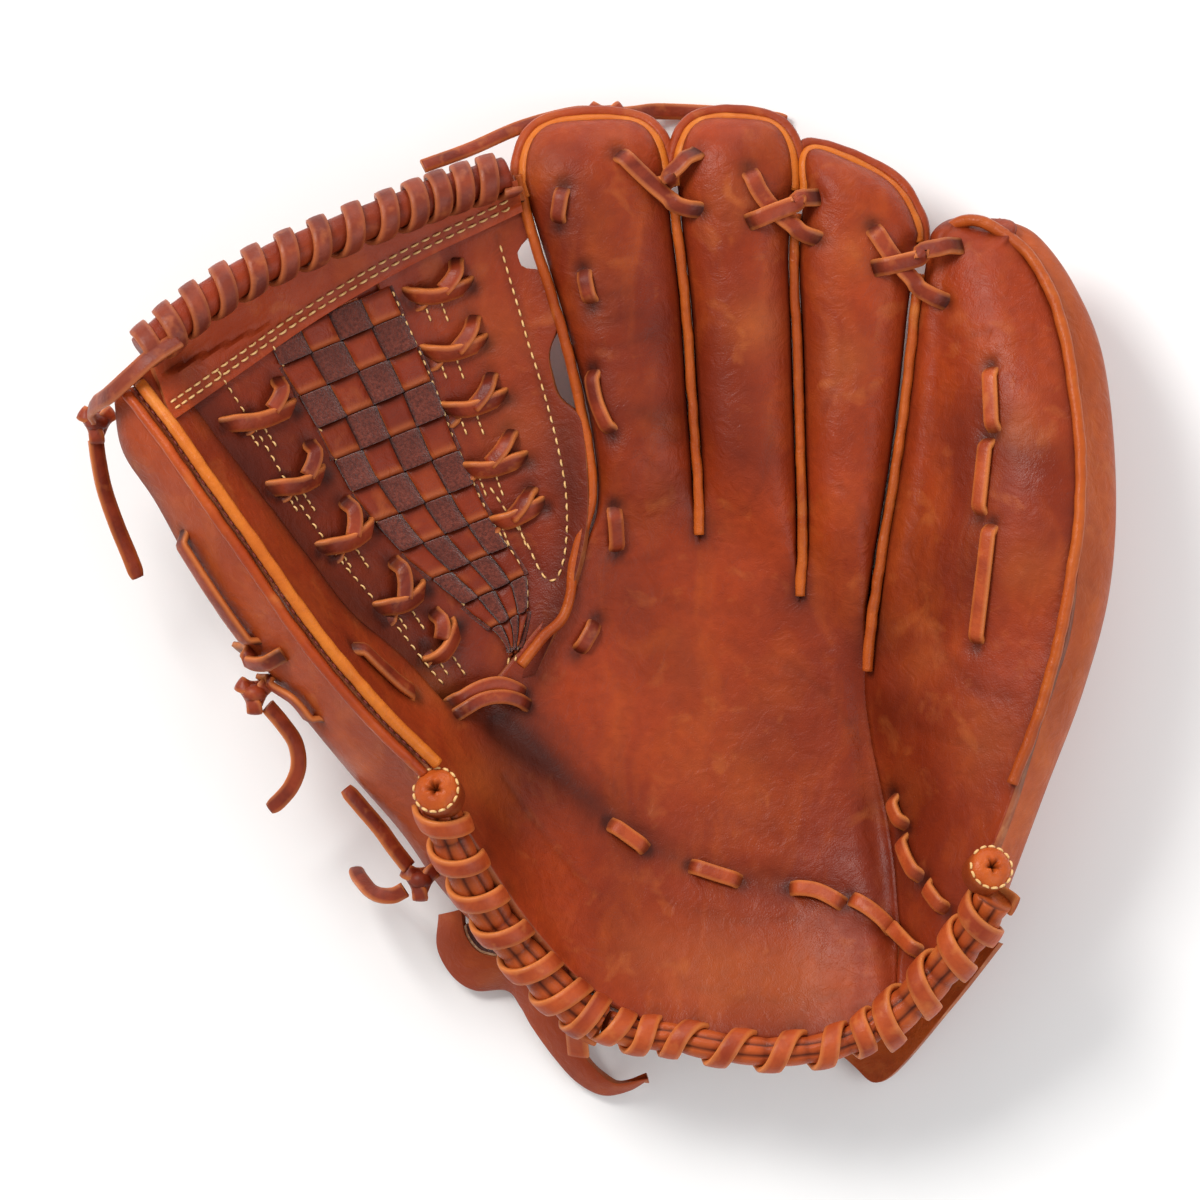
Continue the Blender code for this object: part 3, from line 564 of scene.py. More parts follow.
# Broad pale places, partly wear and partly painted highlight: x, y, radius and how pale
PALE_WEAR_AND_HIGHLIGHT = (
    (40, -130, 18, 0.20), (70, -134, 16, 0.22), (14, -122, 13, 0.12), (44, -56, 20, 0.08),
    (30, -20, 16, 0.06), (54, 96, 10, 0.24),
    (86, 84, 10, 0.18), (88, 120, 9, 0.16), (46, 142, 10, 0.14), (148, 60, 10, 0.14),
    (150, 10, 11, 0.16), (134, -50, 12, 0.14), (-24, 150, 9, 0.14), (-30, 60, 12, 0.16),
    (-36, 92, 12, 0.14), (-58, -30, 8, 0.20), (-44, -64, 9, 0.18), (114, -22, 9, 0.14),
)
# Broad painted shade in the valleys of the front and the web: x, y, radius and how dark
SHADE_ZONES = (
    (20, 92, 8, 0.22), (23, 64, 9, 0.30), (28, 38, 9, 0.24), (52, 56, 11, 0.16),
    (-96, 30, 15, 0.30), (-76, 6, 15, 0.34), (-113, 54, 15, 0.26), (-60, -14, 13, 0.30),
    (-38, 8, 11, 0.24), (-22, 40, 9, 0.14), (-90, 60, 12, 0.16), (6, 104, 13, 0.16),
    (-36, -40, 14, 0.40), (-28, -54, 16, 0.38), (-16, -66, 15, 0.28), (-2, -76, 13, 0.22),
    (14, -86, 11, 0.18), (-34, -80, 14, 0.30), (-6, 72, 15, 0.26), (-2, 40, 15, 0.26),
    (4, 4, 14, 0.20), (98, -10, 10, 0.30), (101, -40, 10, 0.30), (104, -70, 10, 0.28),
    (108, -98, 11, 0.24), (36, 24, 9, 0.22), (70, 0, 9, 0.20), (124, 10, 16, 0.16),
    (120, 60, 14, 0.16), (50, 70, 12, 0.12), (88, 60, 12, 0.14), (-14, 128, 12, 0.14),
)
# The deep fold across the palm, then fine folds pressed into the hide, all as x, y
PALM_CREASE = (
    (-36, -44), (-19, -56), (-7, -67), (9, -80), (28, -91), (49, -97), (70, -101), (87, -106),
    (103, -117), (112, -126),
)
CREASES = (
    ((-14, 110), (-4, 106), (8, 107)), ((-12, 100), (-1, 97), (14, 100)),
    ((-10, 90), (2, 88), (18, 92)), ((14, 66), (22, 62), (28, 54)), ((12, 52), (20, 46)),
    ((-4, 20), (8, 14), (22, 16)), ((20, 2), (34, -4), (50, -3)), ((60, 60), (58, 44), (50, 30)),
    ((90, 84), (84, 78), (78, 66)), ((84, 40), (92, 30), (96, 16)),
    ((108, 20), (112, 2), (120, -14)), ((118, -16), (130, -30), (142, -34)),
    ((110, -44), (120, -48), (134, -52)),
    ((-30, -34), (-10, -50), (14, -76)), ((-34, -62), (-18, -84), (0, -104)),
    ((20, -104), (44, -112), (70, -112)), ((60, -20), (76, -30), (92, -50)),
    ((28, -134), (54, -140), (84, -138)), ((116, 100), (124, 92), (136, 94)),
)
# Net column where the thumb's strip ends, at its start and further on
THUMB_EDGE = (1.5, 1.9)
THUMB_SAMPLES = 100
# Net column where the palm hide is divided, on the little finger's fold
SPLIT_COLUMN = 6

# Seams of the thumb's back from its tip, and of the little finger's back from the heel
THUMB_RIM = (
    (-161, 74, 103), (-150, 60, 109), (-138, 43, 112), (-119, 16, 112), (-98, -14, 108),
    (-77, -39, 100), (-58, -58, 90), (-47, -76, 80), (-39, -94, 71), (-28, -111, 62),
    (-14, -127, 54), (0, -137, 49), (11, -142, 47),
)
THUMB_OUTER = (
    (-169, 72, 88), (-166, 52, 86), (-154, 33, 81), (-133, -5, 73), (-110, -33, 63),
    (-88, -60, 52), (-70, -81, 42), (-59, -97, 34), (-50, -108, 28), (-38, -120, 24),
    (-22, -133, 22), (-6, -142, 22), (6, -147, 24),
)
THUMB_UNDER = (
    (-158, 75, 80), (-149, 54, 70), (-136, 31, 61), (-116, 2, 47), (-94, -22, 32),
    (-71, -44, 16), (-48, -62, 5), (-36, -78, 2), (-29, -92, 2), (-20, -104, 2),
    (-12, -114, 2), (-4, -122, 3), (2, -128, 4),
)
THUMB_LAST = (
    (-151, 77, 84), (-141, 58, 79), (-128, 37, 74), (-113, 16, 67), (-96, -5, 57),
    (-77, -24, 44), (-54, -40, 28), (-34, -44, 12), (-12, -46, 3), (-6, -62, 2),
    (-3, -82, 2), (1, -105, 2), (4, -120, 4),
)
LITTLE_RIM = (
    (136, -90, 75), (144, -64, 76), (155, -34, 78), (164, 5, 79), (168, 42, 76),
    (165, 78, 68), (160, 102, 60), (151, 120, 53), (139, 130, 48),
)
LITTLE_CAP = ((131, 133, 46), (124, 131, 43), (119, 124, 42))
LITTLE_OUTER = (
    (142, -104, 48), (156, -66, 50), (169, -31, 52), (178, 4, 52), (180, 42, 50),
    (176, 84, 46), (166, 110, 42), (153, 128, 40), (140, 134, 40),
)
LITTLE_UNDER = (
    (124, -108, 9), (134, -66, 6), (144, -30, 5), (150, 4, 5), (152, 42, 6),
    (150, 80, 10), (146, 102, 18), (142, 120, 28), (136, 129, 35),
)
LITTLE_LAST = (
    (110, -116, 6), (110, -70, 2), (110, -35, 1), (110, 2, 1), (110, 44, 2),
    (112, 86, 8), (117, 106, 17), (124, 119, 27), (131, 127, 34),
)


class Surface:
    """Every face of hide as built so far, to lay laces and stitches on."""

    def __init__(self):
        self.verts, self.faces, self.tree = [], [], None

    def add(self, grid):
        rows, cols = grid.shape[:2]
        index = np.arange(rows * cols).reshape(rows, cols) + len(self.verts)
        self.verts += grid.reshape(-1, 3).tolist()
        self.faces += quads(index).tolist()
        self.tree = None

    def drop(self, plan):
        """Points and normals of the face seen from above at each x, y of plan."""
        if self.tree is None:
            self.tree = BVHTree.FromPolygons(self.verts, self.faces)
        points, normals = [], []
        for x, y, _ in plan:
            hit, normal, _, _ = self.tree.ray_cast(Vector((x, y, 200.0)), Vector((0, 0, -1)))
            if hit is None:
                hit, normal, _, _ = self.tree.find_nearest(Vector((x, y, 60.0)))
            points.append(hit)
            normals.append(normal if normal.z > 0 else -normal)
        return np.array(points), np.array(normals)

    def drop_line(self, plan, step):
        """The same along a smooth line through plan points x, y."""
        return self.drop(flat_line(plan, step))


def flat_line(plan, step):
    """A smooth line at height 0 through plan points x, y."""
    return even([(x, y, 0.0) for x, y in plan], step)


FACE = Surface()
DENTS = []
DENT_REACH = 8.0
DENT_BATCH = 200
# The hide's waves: length, seed and height
WAVES = ((34.0, 0.0, 0.9), (11.0, 5.0, 0.34), (5.0, 9.0, 0.10))


def dent(points, radius, shade, depth=0.0):
    """Presses in the hide near these points, as seams and lace holes do, and paints shade there."""
    for p in np.reshape(points, (-1, 3)):
        DENTS.append((*p, radius, shade, depth))


def relief(grid, seed=0.0, strength=1.0):
    """The hide's own waves and folds, added upwards so that joined edges stay joined."""
    wave = sum(rough_field(grid, length, seed + extra) * high for length, extra, high in WAVES)
    return grid + np.array([0.0, 0.0, 1.0]) * (wave * strength)[..., None]


def net_surface(net, rows, cols):
    """A smooth face through a net of points, sampled rows by cols."""
    return spline(np.swapaxes(spline(net, rows), 0, 1), cols).swapaxes(0, 1)


def crown(t):
    """A stall's rise across its width, from 0 at its seams to 1 at its middle."""
    return np.maximum(0.0, 1.0 - np.abs(2.0 * t - 1.0) ** 2.6) ** 0.7


def palm_face():
    """The palm's front, with a net row beyond it so that it runs on into the fingers."""
    beyond = [THUMB_NET[0][c] if c < 3 else FINGER_NET[c][0] for c in range(9)]
    face = net_surface([*PALM_NET, beyond], 5 * SPAN_ROWS + 1, 8 * FINE + 1)
    face = face[: 4 * SPAN_ROWS + 1]
    x, y = face[..., 0], face[..., 1]
    fold = 92.0 + np.clip((-y - 30.0) / 110.0, 0.0, 1.0) * 14.0
    pit = np.exp(-((x - fold) / FOLD_HALF) ** 2) * smoothstep((-y - 10.0) / 30.0)
    face[..., 2] -= FOLD_DEPTH * pit
    return face


def finger_rails(column):
    """A net column from the palm's last row to the start of the tip."""
    chain = [row[column] for row in PALM_NET] + list(FINGER_NET[column])
    return spline(chain, (len(chain) - 1) * SPAN_ROWS + 1)[4 * SPAN_ROWS:]


def finger_face(column, root):
    """One stall's front from the palm's last row, root, to where its tip starts."""
    left, right = finger_rails(column), finger_rails(column + 1)
    t = np.linspace(0.0, 1.0, FINE + 1)[:, None]
    bow = root - (left[0] + (right[0] - left[0]) * t)
    rows = []
    for i in range(len(left)):
        gap = smoothstep(i / (0.8 * SPAN_ROWS)) * SLIT_HALF
        a = left[i] + np.array([gap if column > 3 else 0.0, 0.0, 0.0])
        b = right[i] - np.array([gap, 0.0, 0.0])
        row = a + (b - a) * t + bow * (1.0 - smoothstep(i / (1.2 * SPAN_ROWS)))
        row[:, 2] += CROWN * smoothstep(i / (1.7 * SPAN_ROWS)) * crown(t[:, 0])
        rows.append(row)
    return np.array(rows)


def little_face(root):
    """The little finger's front, from the palm's last row to where its tip starts."""
    rails = np.stack([finger_rails(c) for c in (6, 7, 8)], 1)
    across = [spline(row, 2 * FINE + 1) for row in rails]
    bow = root - across[0]
    t = np.linspace(0.0, 1.0, 2 * FINE + 1)
    lip = 2.5 * np.exp(-((t - 0.06) / 0.05) ** 2)
    rows = []
    for i, row in enumerate(across):
        ease = smoothstep(i / (1.5 * SPAN_ROWS))
        row = row + bow * (1.0 - ease)
        row[:, 0] += SLIT_HALF * smoothstep(i / (0.8 * SPAN_ROWS)) * (1.0 - t)
        row[:, 2] += ease * (LITTLE_CROWN * crown(t) + lip)
        rows.append(row)
    return np.array(rows)


def tip_rows(face, tip, steps=TIP_STEPS):
    """Rows that draw in and bend down to the end of a stall."""
    last = face[-1]
    centre = (last[0] + last[-1]) / 2
    reach = np.array([tip[0] - centre[0], tip[1] - centre[1], 0.0])
    rows = []
    for turn in np.linspace(0.0, 0.5 * math.pi, steps + 1)[1:]:
        fall = 1.0 - math.cos(turn)
        draw_in = 0.22 + 0.78 * math.cos(turn) ** 0.55
        row = centre + (last - centre) * (draw_in, draw_in, 1.0 - 0.75 * fall)
        row += reach * math.sin(turn)
        row[:, 2] -= TIP_DROP * fall
        rows.append(row)
    return np.concatenate([face, rows])


def thumb_face(palm):
    """The strip beside the thumb's welt, on from the palm's last row."""
    net = np.array([row[:4] for row in PALM_NET[3:]] + list(THUMB_NET), float)
    along = spline(net, (len(net) - 1) * SPAN_ROWS + 1)[SPAN_ROWS:]
    columns = int(THUMB_EDGE[0] * FINE) + 1
    grid = []
    for i, row in enumerate(along):
        end = THUMB_EDGE[0] + (THUMB_EDGE[1] - THUMB_EDGE[0]) * smoothstep(i / SPAN_ROWS)
        fine = spline(row, 3 * THUMB_SAMPLES + 1)
        at = np.linspace(0.0, end, columns) * THUMB_SAMPLES
        every = np.arange(len(fine))
        grid.append(np.stack([np.interp(at, every, fine[:, k]) for k in range(3)], -1))
    grid = np.array(grid)
    swell = smoothstep(np.arange(len(grid)) / (1.5 * SPAN_ROWS))[:, None]
    grid[..., 2] += 3.0 * swell * crown(np.linspace(0.0, 1.0, columns))
    grid[0] = palm[-1, :columns]
    return grid


def merged(grids):
    """One vertex list and face list from grids whose edges share points."""
    verts, faces, seen = [], [], {}
    for grid in grids:
        numbers = []
        for point in grid.reshape(-1, 3):
            key = tuple(np.round(point, 2))
            if key not in seen:
                seen[key] = len(verts)
                verts.append(point)
            numbers.append(seen[key])
        for face in quads(np.reshape(numbers, grid.shape[:2])).tolist():
            ring = list(dict.fromkeys(face))
            if len(ring) > 2:
                faces.append(ring)
    return np.array(verts), faces


def toned(verts):
    """Shade and pressing depth at each vertex from the dents near it."""
    shade = np.zeros(len(verts))
    press = np.zeros(len(verts))
    spots = np.array(DENTS)
    low, high = verts.min(axis=0) - DENT_REACH, verts.max(axis=0) + DENT_REACH
    spots = spots[np.all((spots[:, :3] > low) & (spots[:, :3] < high), axis=1)]
    for k in range(0, len(spots), DENT_BATCH):
        part = spots[k:k + DENT_BATCH]
        d2 = ((verts[:, None, :] - part[None, :, :3]) ** 2).sum(axis=2)
        fall = np.exp(-d2 / part[:, 3] ** 2)
        shade = np.maximum(shade, (fall * part[:, 4]).max(axis=1))
        press = np.maximum(press, (fall * part[:, 5]).max(axis=1))
    return shade, press


def carry(obj, body):
    """Fixes obj to a body; for the two bend names it only bakes its placement into its mesh."""
    if body == "thumb_bend":
        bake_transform(obj)
    elif body == "little_bend":
        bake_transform(obj)
    else:
        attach(obj, body)


def zoned(verts, zones):
    """Share at each vertex of broad zones, for painted shade and for wear with painted highlight.
    """
    share = np.zeros(len(verts))
    for x, y, radius, amount in zones:
        d2 = ((verts[:, :2] - (x, y)) ** 2).sum(axis=1)
        share += amount * np.exp(-d2 / radius ** 2)
    return np.minimum(share, 0.62)


def hide(name, grids, thick, material, edge, warm=0.0, joined=False):
    """Leather cut from one or more joined grids, with its thickness behind it."""
    verts, faces = merged(grids)
    mesh = bpy.data.meshes.new(name)
    mesh.from_pydata((verts * MM).tolist(), [], faces)
    mesh.update()
    normals = np.zeros(len(verts) * 3)
    mesh.vertices.foreach_get("normal", normals)
    shade, press = toned(verts)
    # Painted shade from the dents and from the broad shade zones of the valleys
    shade = np.clip(shade + 1.25 * zoned(verts, SHADE_ZONES), 0.0, 0.9)
    verts = verts - normals.reshape(-1, 3) * press[:, None]
    mesh.vertices.foreach_set("co", (verts * MM).ravel())
    mesh.materials.append(material)
    mesh.materials.append(edge)
    # Green: broad pale places, partly wear and partly painted highlight
    paint(mesh, np.stack([shade, zoned(verts, PALE_WEAR_AND_HIGHLIGHT), np.full(len(verts), warm)], 1))
    obj = placed(name, mesh)
    solid = obj.modifiers.new("Hide", "SOLIDIFY")
    solid.thickness = thick * MM
    solid.offset = -1.0
    solid.use_even_offset = False
    solid.material_offset_rim = 1
    if not joined:
        bevel = obj.modifiers.new("Edge", "BEVEL")
        bevel.width = 0.7 * MM
        bevel.segments = 2
        bevel.limit_method = "ANGLE"
        bevel.angle_limit = math.radians(50)
    return obj


# ---------------------------------------------------------------- laces and stitches on the hide
LACE_WIDE = 6.4
LACE_THICK = 2.3
HOLE_DEPTH = 4.2
HOLE_RUN = 4.0


def smooth_line(values, passes=3):
    """Softens the kinks of a sampled line without moving its ends."""
    for _ in range(passes):
        middle = 0.25 * values[:-2] + 0.5 * values[1:-1] + 0.25 * values[2:]
        values = np.concatenate([values[:1], middle, values[-1:]])
    return values


def pulled_taut(run, height):
    """Heights of a thong pulled tight over the bumps under it."""
    chain = []
    for i in range(len(run)):
        while len(chain) > 1:
            a, b = chain[-2], chain[-1]
            rise_ab = (height[b] - height[a]) * (run[i] - run[a])
            if rise_ab > (height[i] - height[a]) * (run[b] - run[a]):
                break
            chain.pop()
        chain.append(i)
    return np.interp(run, run[chain], height[chain])


def laid(plan, lift, taut, wide):
    """A path lift above the hide along plan points x, y, with the hide's normals."""
    line = flat_line(plan, 1.1)
    ahead = unit(np.gradient(line, axis=0))
    side = np.stack([ahead[:, 1], -ahead[:, 0], np.zeros(len(line))], 1) * (0.36 * wide)
    centre, normals = FACE.drop(line)
    high = np.maximum(FACE.drop(line + side)[0][:, 2], FACE.drop(line - side)[0][:, 2])
    height = np.maximum(centre[:, 2], 0.5 * (high + centre[:, 2]))
    run = run_along(line)
    line[:, 2] = pulled_taut(run, height) if taut else height
    normals = unit(smooth_line(normals, 12))
    return smooth_line(line, 4) + normals * lift, normals, run


def lace_on(part, plan, lift, wide=LACE_WIDE, taut=False, dive=(True, True), arch=0.0, twist=0.0):
    """A thong on the hide whose ends go down into holes where dive says so."""
    path, up, run = laid(plan, lift, taut, wide)
    down = np.zeros(len(run))
    for dives, distance in zip(dive, (run, run[-1] - run)):
        if dives:
            down = np.maximum(down, HOLE_DEPTH * (1.0 - smoothstep(distance / HOLE_RUN)))
    bow = arch * np.sin(math.pi * run / run[-1])
    path = path + up * (bow - down)[:, None]
    if twist:
        side = unit(np.cross(np.gradient(path, axis=0), up))
        up = unit(up + side * twist)
    # Painted shade on the thong where it goes down into a hole
    part.thong(path, up, wide, LACE_THICK, shade=0.75 * np.clip(down / 3.0, 0.0, 1.0))
    # Painted shade in each hole, which is also pressed in
    for dives, k in zip(dive, (0, -1)):
        if dives:
            dent([path[k] + up[k] * 3.6], 3.4, 0.85, 1.1)
    # Painted shadow in the hide under the thong, which is also pressed in a little
    dent(path[2:-2:3] - up[2:-2:3] * (lift + bow[2:-2:3])[:, None], 0.62 * wide, 0.42, 0.2)


def seam(part, plan, length, gap, radius, shade=0.35):
    """Stitches sunk along a plan line, the hide pulled down and painted shade around them."""
    points, normals = FACE.drop_line(plan, 1.0)
    points = smooth_line(points, 3)
    normals = unit(smooth_line(normals, 6))
    part.stitches(points, normals, length, gap, radius, lift=-0.05)
    dent(points, 1.5, shade, 0.35)


def piping(part, line, radius, slot=0, shade_radius=3.4, flat=1.0, shade=0.62, wobble=0.2):
    """A welt along points in space, with shade in the hides beside it."""
    path = even(line, 1.1)
    wave = rough_field(path, 8.0, 3.0) * wobble
    girth = radius * (1.0 + 0.10 * rough_field(path, 5.0, 6.0))
    part.round_strip(path + wave[:, None] * (1.0, 0.4, 0.6), girth, slot=slot, flat=flat)
    # Painted shade in the hides beside the welt; they are not pressed in
    dent(path[::2], shade_radius, shade)
    return path


# Laces of the front, all as x, y
TIP_CROSSES = {
    "index_middle_tip_lace": (
        ((6, 157), (14, 149), (24, 140), (35, 136)), ((34, 157), (29, 150), (20, 145))),
    "middle_ring_tip_lace": (
        ((52, 151), (56, 142), (64, 133), (76, 126)), ((76, 141), (66, 139), (52, 132))),
    "ring_little_tip_lace": (
        ((95, 131), (102, 120), (111, 110), (121, 104)), ((126, 124), (112, 121), (96, 116))),
}
INDEX_RUNS = (
    ((-13, 145), (-15, 131)), ((-6, 116), (-3, 103)), ((-3, 81), (-1, 70), (4, 58)),
    ((5, 33), (6, 16)), ((-1, -7), (-8, -19)),
)
LITTLE_RUNS = (((136, 82), (137, 58)), ((135, 57), (132, 29)), ((136, 27), (131, -16)))
CREASE_RUNS = (
    ((3, -78), (10, -83), (17, -88)), ((31, -93), (40, -96), (50, -99)),
    ((66, -101), (76, -102), (86, -107)), ((87, -104), (94, -108), (103, -116)),
    ((100, -113), (106, -118), (112, -124)), ((102, -68), (104, -75), (107, -80)),
    ((105, -82), (108, -91), (112, -98)), ((113, -98), (117, -104), (121, -109)),
)
CROTCH_RUNS = (((-52, -36), (-44, -31), (-35, -29), (-26, -33)),
               ((-50, -40), (-42, -35), (-33, -34), (-25, -37)))
THUMB_RUN = ((-85, -15), (-77, -23), (-68, -31), (-63, -33))


def make_front_laces(m):
    """The laces that lie on the palm, the fingers, the thumb and the foot of the web."""
    made = {}
    for name, runs, lift, look in (
        ("index_lace", INDEX_RUNS, 0.9, "lace"), ("little_lace", LITTLE_RUNS, 0.9, "heel_lace"),
        ("palm_crease_lace", CREASE_RUNS, 1.0, "heel_lace"),
        ("thumb_lace", (THUMB_RUN,), 0.9, "lace"),
    ):
        part = Part()
        for run in runs:
            lace_on(part, run, lift, wide=5.6)
        made[name] = part.object(name + "_look", [m[look]])
    for name, (under, over) in TIP_CROSSES.items():
        part = Part()
        lace_on(part, under, 1.2, taut=True)
        lace_on(part, over, 3.4, taut=True, arch=0.6)
        made[name] = part.object(name + "_look", [m["lace"]])
    part = Part()
    for k, run in enumerate(CROTCH_RUNS):
        lace_on(part, run, 1.6 + 1.2 * k, wide=5.0, taut=True)
    made["web_crotch_lace"] = part.object("web_crotch_lace_look", [m["lace"]])
    for name in ("index_lace", "palm_crease_lace", "index_middle_tip_lace",
                 "middle_ring_tip_lace"):
        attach(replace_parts(made[name], name), "hand")
    for name in ("little_lace", "ring_little_tip_lace"):
        carry(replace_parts(made[name], name), "little_bend")
    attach(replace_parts(made["web_crotch_lace"], "web_crotch_lace"), "thumb_side")
    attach(made["thumb_lace"], "thumb_side")


# ---------------------------------------------------------------- welts
def make_welts(grids, m):
    """Welts in the slits, round the tips and along both rims."""
    rails = {c: finger_rails(c) for c in (3, 4, 5, 6)}
    hand, little, thumb = Part(), Part(), Part()
    web_side = np.concatenate([((-28, -23, 46), (-20, -13, 44), (-12, -4, 42)),
                               rails[3][8::12] + (-2.2, 0.0, 0.6),
                               [rails[3][-1] + (-1.6, 3.0, 0.0)]])
    piping(hand, web_side, 1.9, wobble=0.42)
    for column in (4, 5):
        piping(hand, rails[column][2::10] + (0.0, 0.0, 0.6), 1.8, flat=0.9, wobble=0.42)
    piping(little, rails[6][:-8:10] + (0.6, 0.0, 1.2), 1.9, wobble=0.42)
    for name, *_ in FINGERS:
        face = grids[name]
        centre = face[-TIP_STEPS - 1].mean(axis=0)
        edge = np.concatenate([face[-TIP_STEPS - 4:, 0], face[-1, 4:-4:4],
                               face[:-TIP_STEPS - 5:-1, -1]])
        outward = unit((edge - centre) * (1.0, 1.0, 0.0))[::2]
        line = smooth_line((edge - (0.0, 0.0, 0.6))[::2], 2)
        piping(hand, line - outward * 0.3, 2.2, slot=1, shade_radius=2.8)
        piping(hand, line + outward * 2.7 - (0.0, 0.0, 2.4), 2.2, slot=2, shade_radius=1.0)
    piping(little, np.array(LITTLE_RIM[1:] + LITTLE_CAP) + (-0.5, 0.0, 1.4), 2.1, wobble=0.3)
    rim = np.array(THUMB_RIM[:7])
    piping(thumb, rim + (1.6, 1.2, 1.4), 2.2)
    beside = piping(thumb, rim + (-3.0, -2.4, -0.2), 2.0, slot=1, shade=0.4)
    thumb.stitches(beside + (2.5, 2.0, 1.6), (0.0, 0.0, 1.0), 2.2, 1.2, 0.42, 2)
    front = hand.object("slit_welts", [m["welt"], m["binding"], m["back"]])
    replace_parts(front, "index_middle_welt", "middle_ring_welt", "index_web_welt",
                "index_tip_binding", "middle_tip_binding", "ring_tip_binding")
    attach(front, "hand")
    side = little.object("little_welts", [m["welt"]])
    carry(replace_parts(side, "little_welt", "ring_little_welt"), "little_bend")
    rim = thumb.object("thumb_rim_welt", [m["binding"], m["pillow"], m["dark_thread"]])
    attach(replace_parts(rim, "thumb_welt"), "thumb_side")


# ---------------------------------------------------------------- web
WEB_LEFT = (
    (-48, -38, 37), (-60, -27, 46), (-76, -8, 55), (-94, 12, 65), (-109, 32, 74),
    (-121, 52, 80), (-134, 72, 85), (-143, 86, 88),
)
WEB_RIGHT = (
    (-27, -33, 35), (-15, -3, 40), (-10, 22, 41), (-11, 45, 42), (-15, 70, 42),
    (-21, 95, 43), (-28, 118, 44), (-35, 140, 46),
)
WEB_SAG = 15.0
WEB_SAMPLES = 141
BAND_LOW = ((-148, 62), (-122, 81), (-98, 98), (-66, 117), (-27, 136))
BAND_HIGH = ((-156, 85), (-130, 104), (-105, 119), (-70, 134), (-29, 147))
ROLL_LINE = (
    (-158, 86, 104), (-141, 101, 98), (-119, 115, 89), (-95, 126, 79), (-70, 136, 69),
    (-52, 143, 61), (-33, 149, 55),
)
ROLL_RADIUS = 6.0
ROLL_TURNS = 13
# The end of the thong that winds round the roll, on its way down to the thumb's knot
LOOP_LINE = (
    (-146, 90, 108), (-155, 84, 112), (-163, 77, 110), (-170, 71, 103), (-175, 68, 92),
    (-177, 66, 80), (-176.5, 64, 72),
)
BAND_ROWS = 16
WEAVE_RISE = 1.6
WEAVE_STRIP = 1.5
WEAVE_LIFT = 1.2
LANES = 4
BARS = 11
# Where the weave starts and ends along the web
WEAVE_FROM = 0.10
WEAVE_TO = 0.93
# Lacing stations of the web: the ends of the wide thong, then those of the one over it
RIGHT_STATIONS = (
    ((-68, 107), (-45, 111), (-56, 109), (-50, 119)),
    ((-62, 87), (-40, 91), (-51, 88), (-44, 99)), ((-55, 67), (-33, 72), (-45, 68), (-38, 79)),
    ((-48, 46), (-26, 50), (-39, 48), (-31, 59)), ((-38, 27), (-20, 34), (-31, 29), (-24, 39)),
)
LEFT_STATIONS = (
    ((-131, 61), (-106, 68), (-116, 66), (-112, 77)),
    ((-115, 39), (-96, 45), (-104, 43), (-101, 55)), ((-98, 18), (-79, 27), (-88, 22), (-89, 35)),
    ((-78, -3), (-61, 5), (-70, 0), (-72, 14)), ((-60, -22), (-50, -8), (-57, -14), (-58, -4)),
)


def web_points(u, v):
    """The web's face; u runs from thumb to index finger, v from crotch to roll."""
    u, v = np.broadcast_arrays(u, v)
    at = np.clip(v, 0.0, 1.0) * (WEB_SAMPLES - 1)
    every = np.arange(WEB_SAMPLES)
    edges = []
    for side in (WEB_LEFT, WEB_RIGHT):
        line = spline(side, WEB_SAMPLES)
        edges.append(np.stack([np.interp(at, every, line[:, k]) for k in range(3)], -1))
    a, b = edges
    p = a + (b - a) * u[..., None]
    p[..., 2] -= WEB_SAG * 4.0 * u * (1.0 - u) * np.sin(math.pi * np.minimum(1.0, v * 0.9))
    return p


def left_seam(v):
    """Where the weave meets the thumb's panel, as u at v."""
    return np.interp(v, (0.10, 0.16, 0.22, 0.30, 0.38, 0.46, 0.55, 0.85, 1.0),
                     (0.655, 0.55, 0.44, 0.35, 0.292, 0.262, 0.24, 0.233, 0.24))


def right_seam(v):
    """Where the weave meets the index finger's panel, as u at v."""
    return np.interp(v, (0.10, 0.16, 0.24, 0.34, 0.44, 0.57, 0.8, 1.0),
                     (0.70, 0.735, 0.735, 0.655, 0.62, 0.60, 0.595, 0.59))


def web_panel(left, right, v0, v1, rows, cols, rise):
    """The web's face between two lines of u over v, lifted by rise."""
    v = np.linspace(v0, v1, rows)[:, None]
    t = np.linspace(0.0, 1.0, cols)
    u0, u1 = left(v), right(v)
    face = web_points(u0 + (u1 - u0) * t, v)
    face[..., 2] += rise
    return face


def inside_gap(v):
    """The index side of the web, with two narrow openings beside the index finger."""
    middle = 0.075 * np.exp(-np.abs((v - 0.62) / 0.075) ** 4)
    upper = 0.075 * np.exp(-np.abs((v - 0.865) / 0.035) ** 4)
    return 1.075 - middle - upper


def weave_wave(phase):
    """A strip's height as it passes over and under; each square is highest at its lower end."""
    share = phase - np.floor(phase)
    side = np.where(np.floor(phase) % 2 == 0, 1.0, -1.0)
    return WEAVE_RISE * side * np.tanh(2.4 * np.sin(math.pi * share ** 0.72)) / math.tanh(2.4)


def weave_place(lane, v):
    """The web's u at a lane of the weave, counted from the thumb's side."""
    low, high = left_seam(v) - 0.02, right_seam(v) + 0.02
    return low + (high - low) * lane / LANES


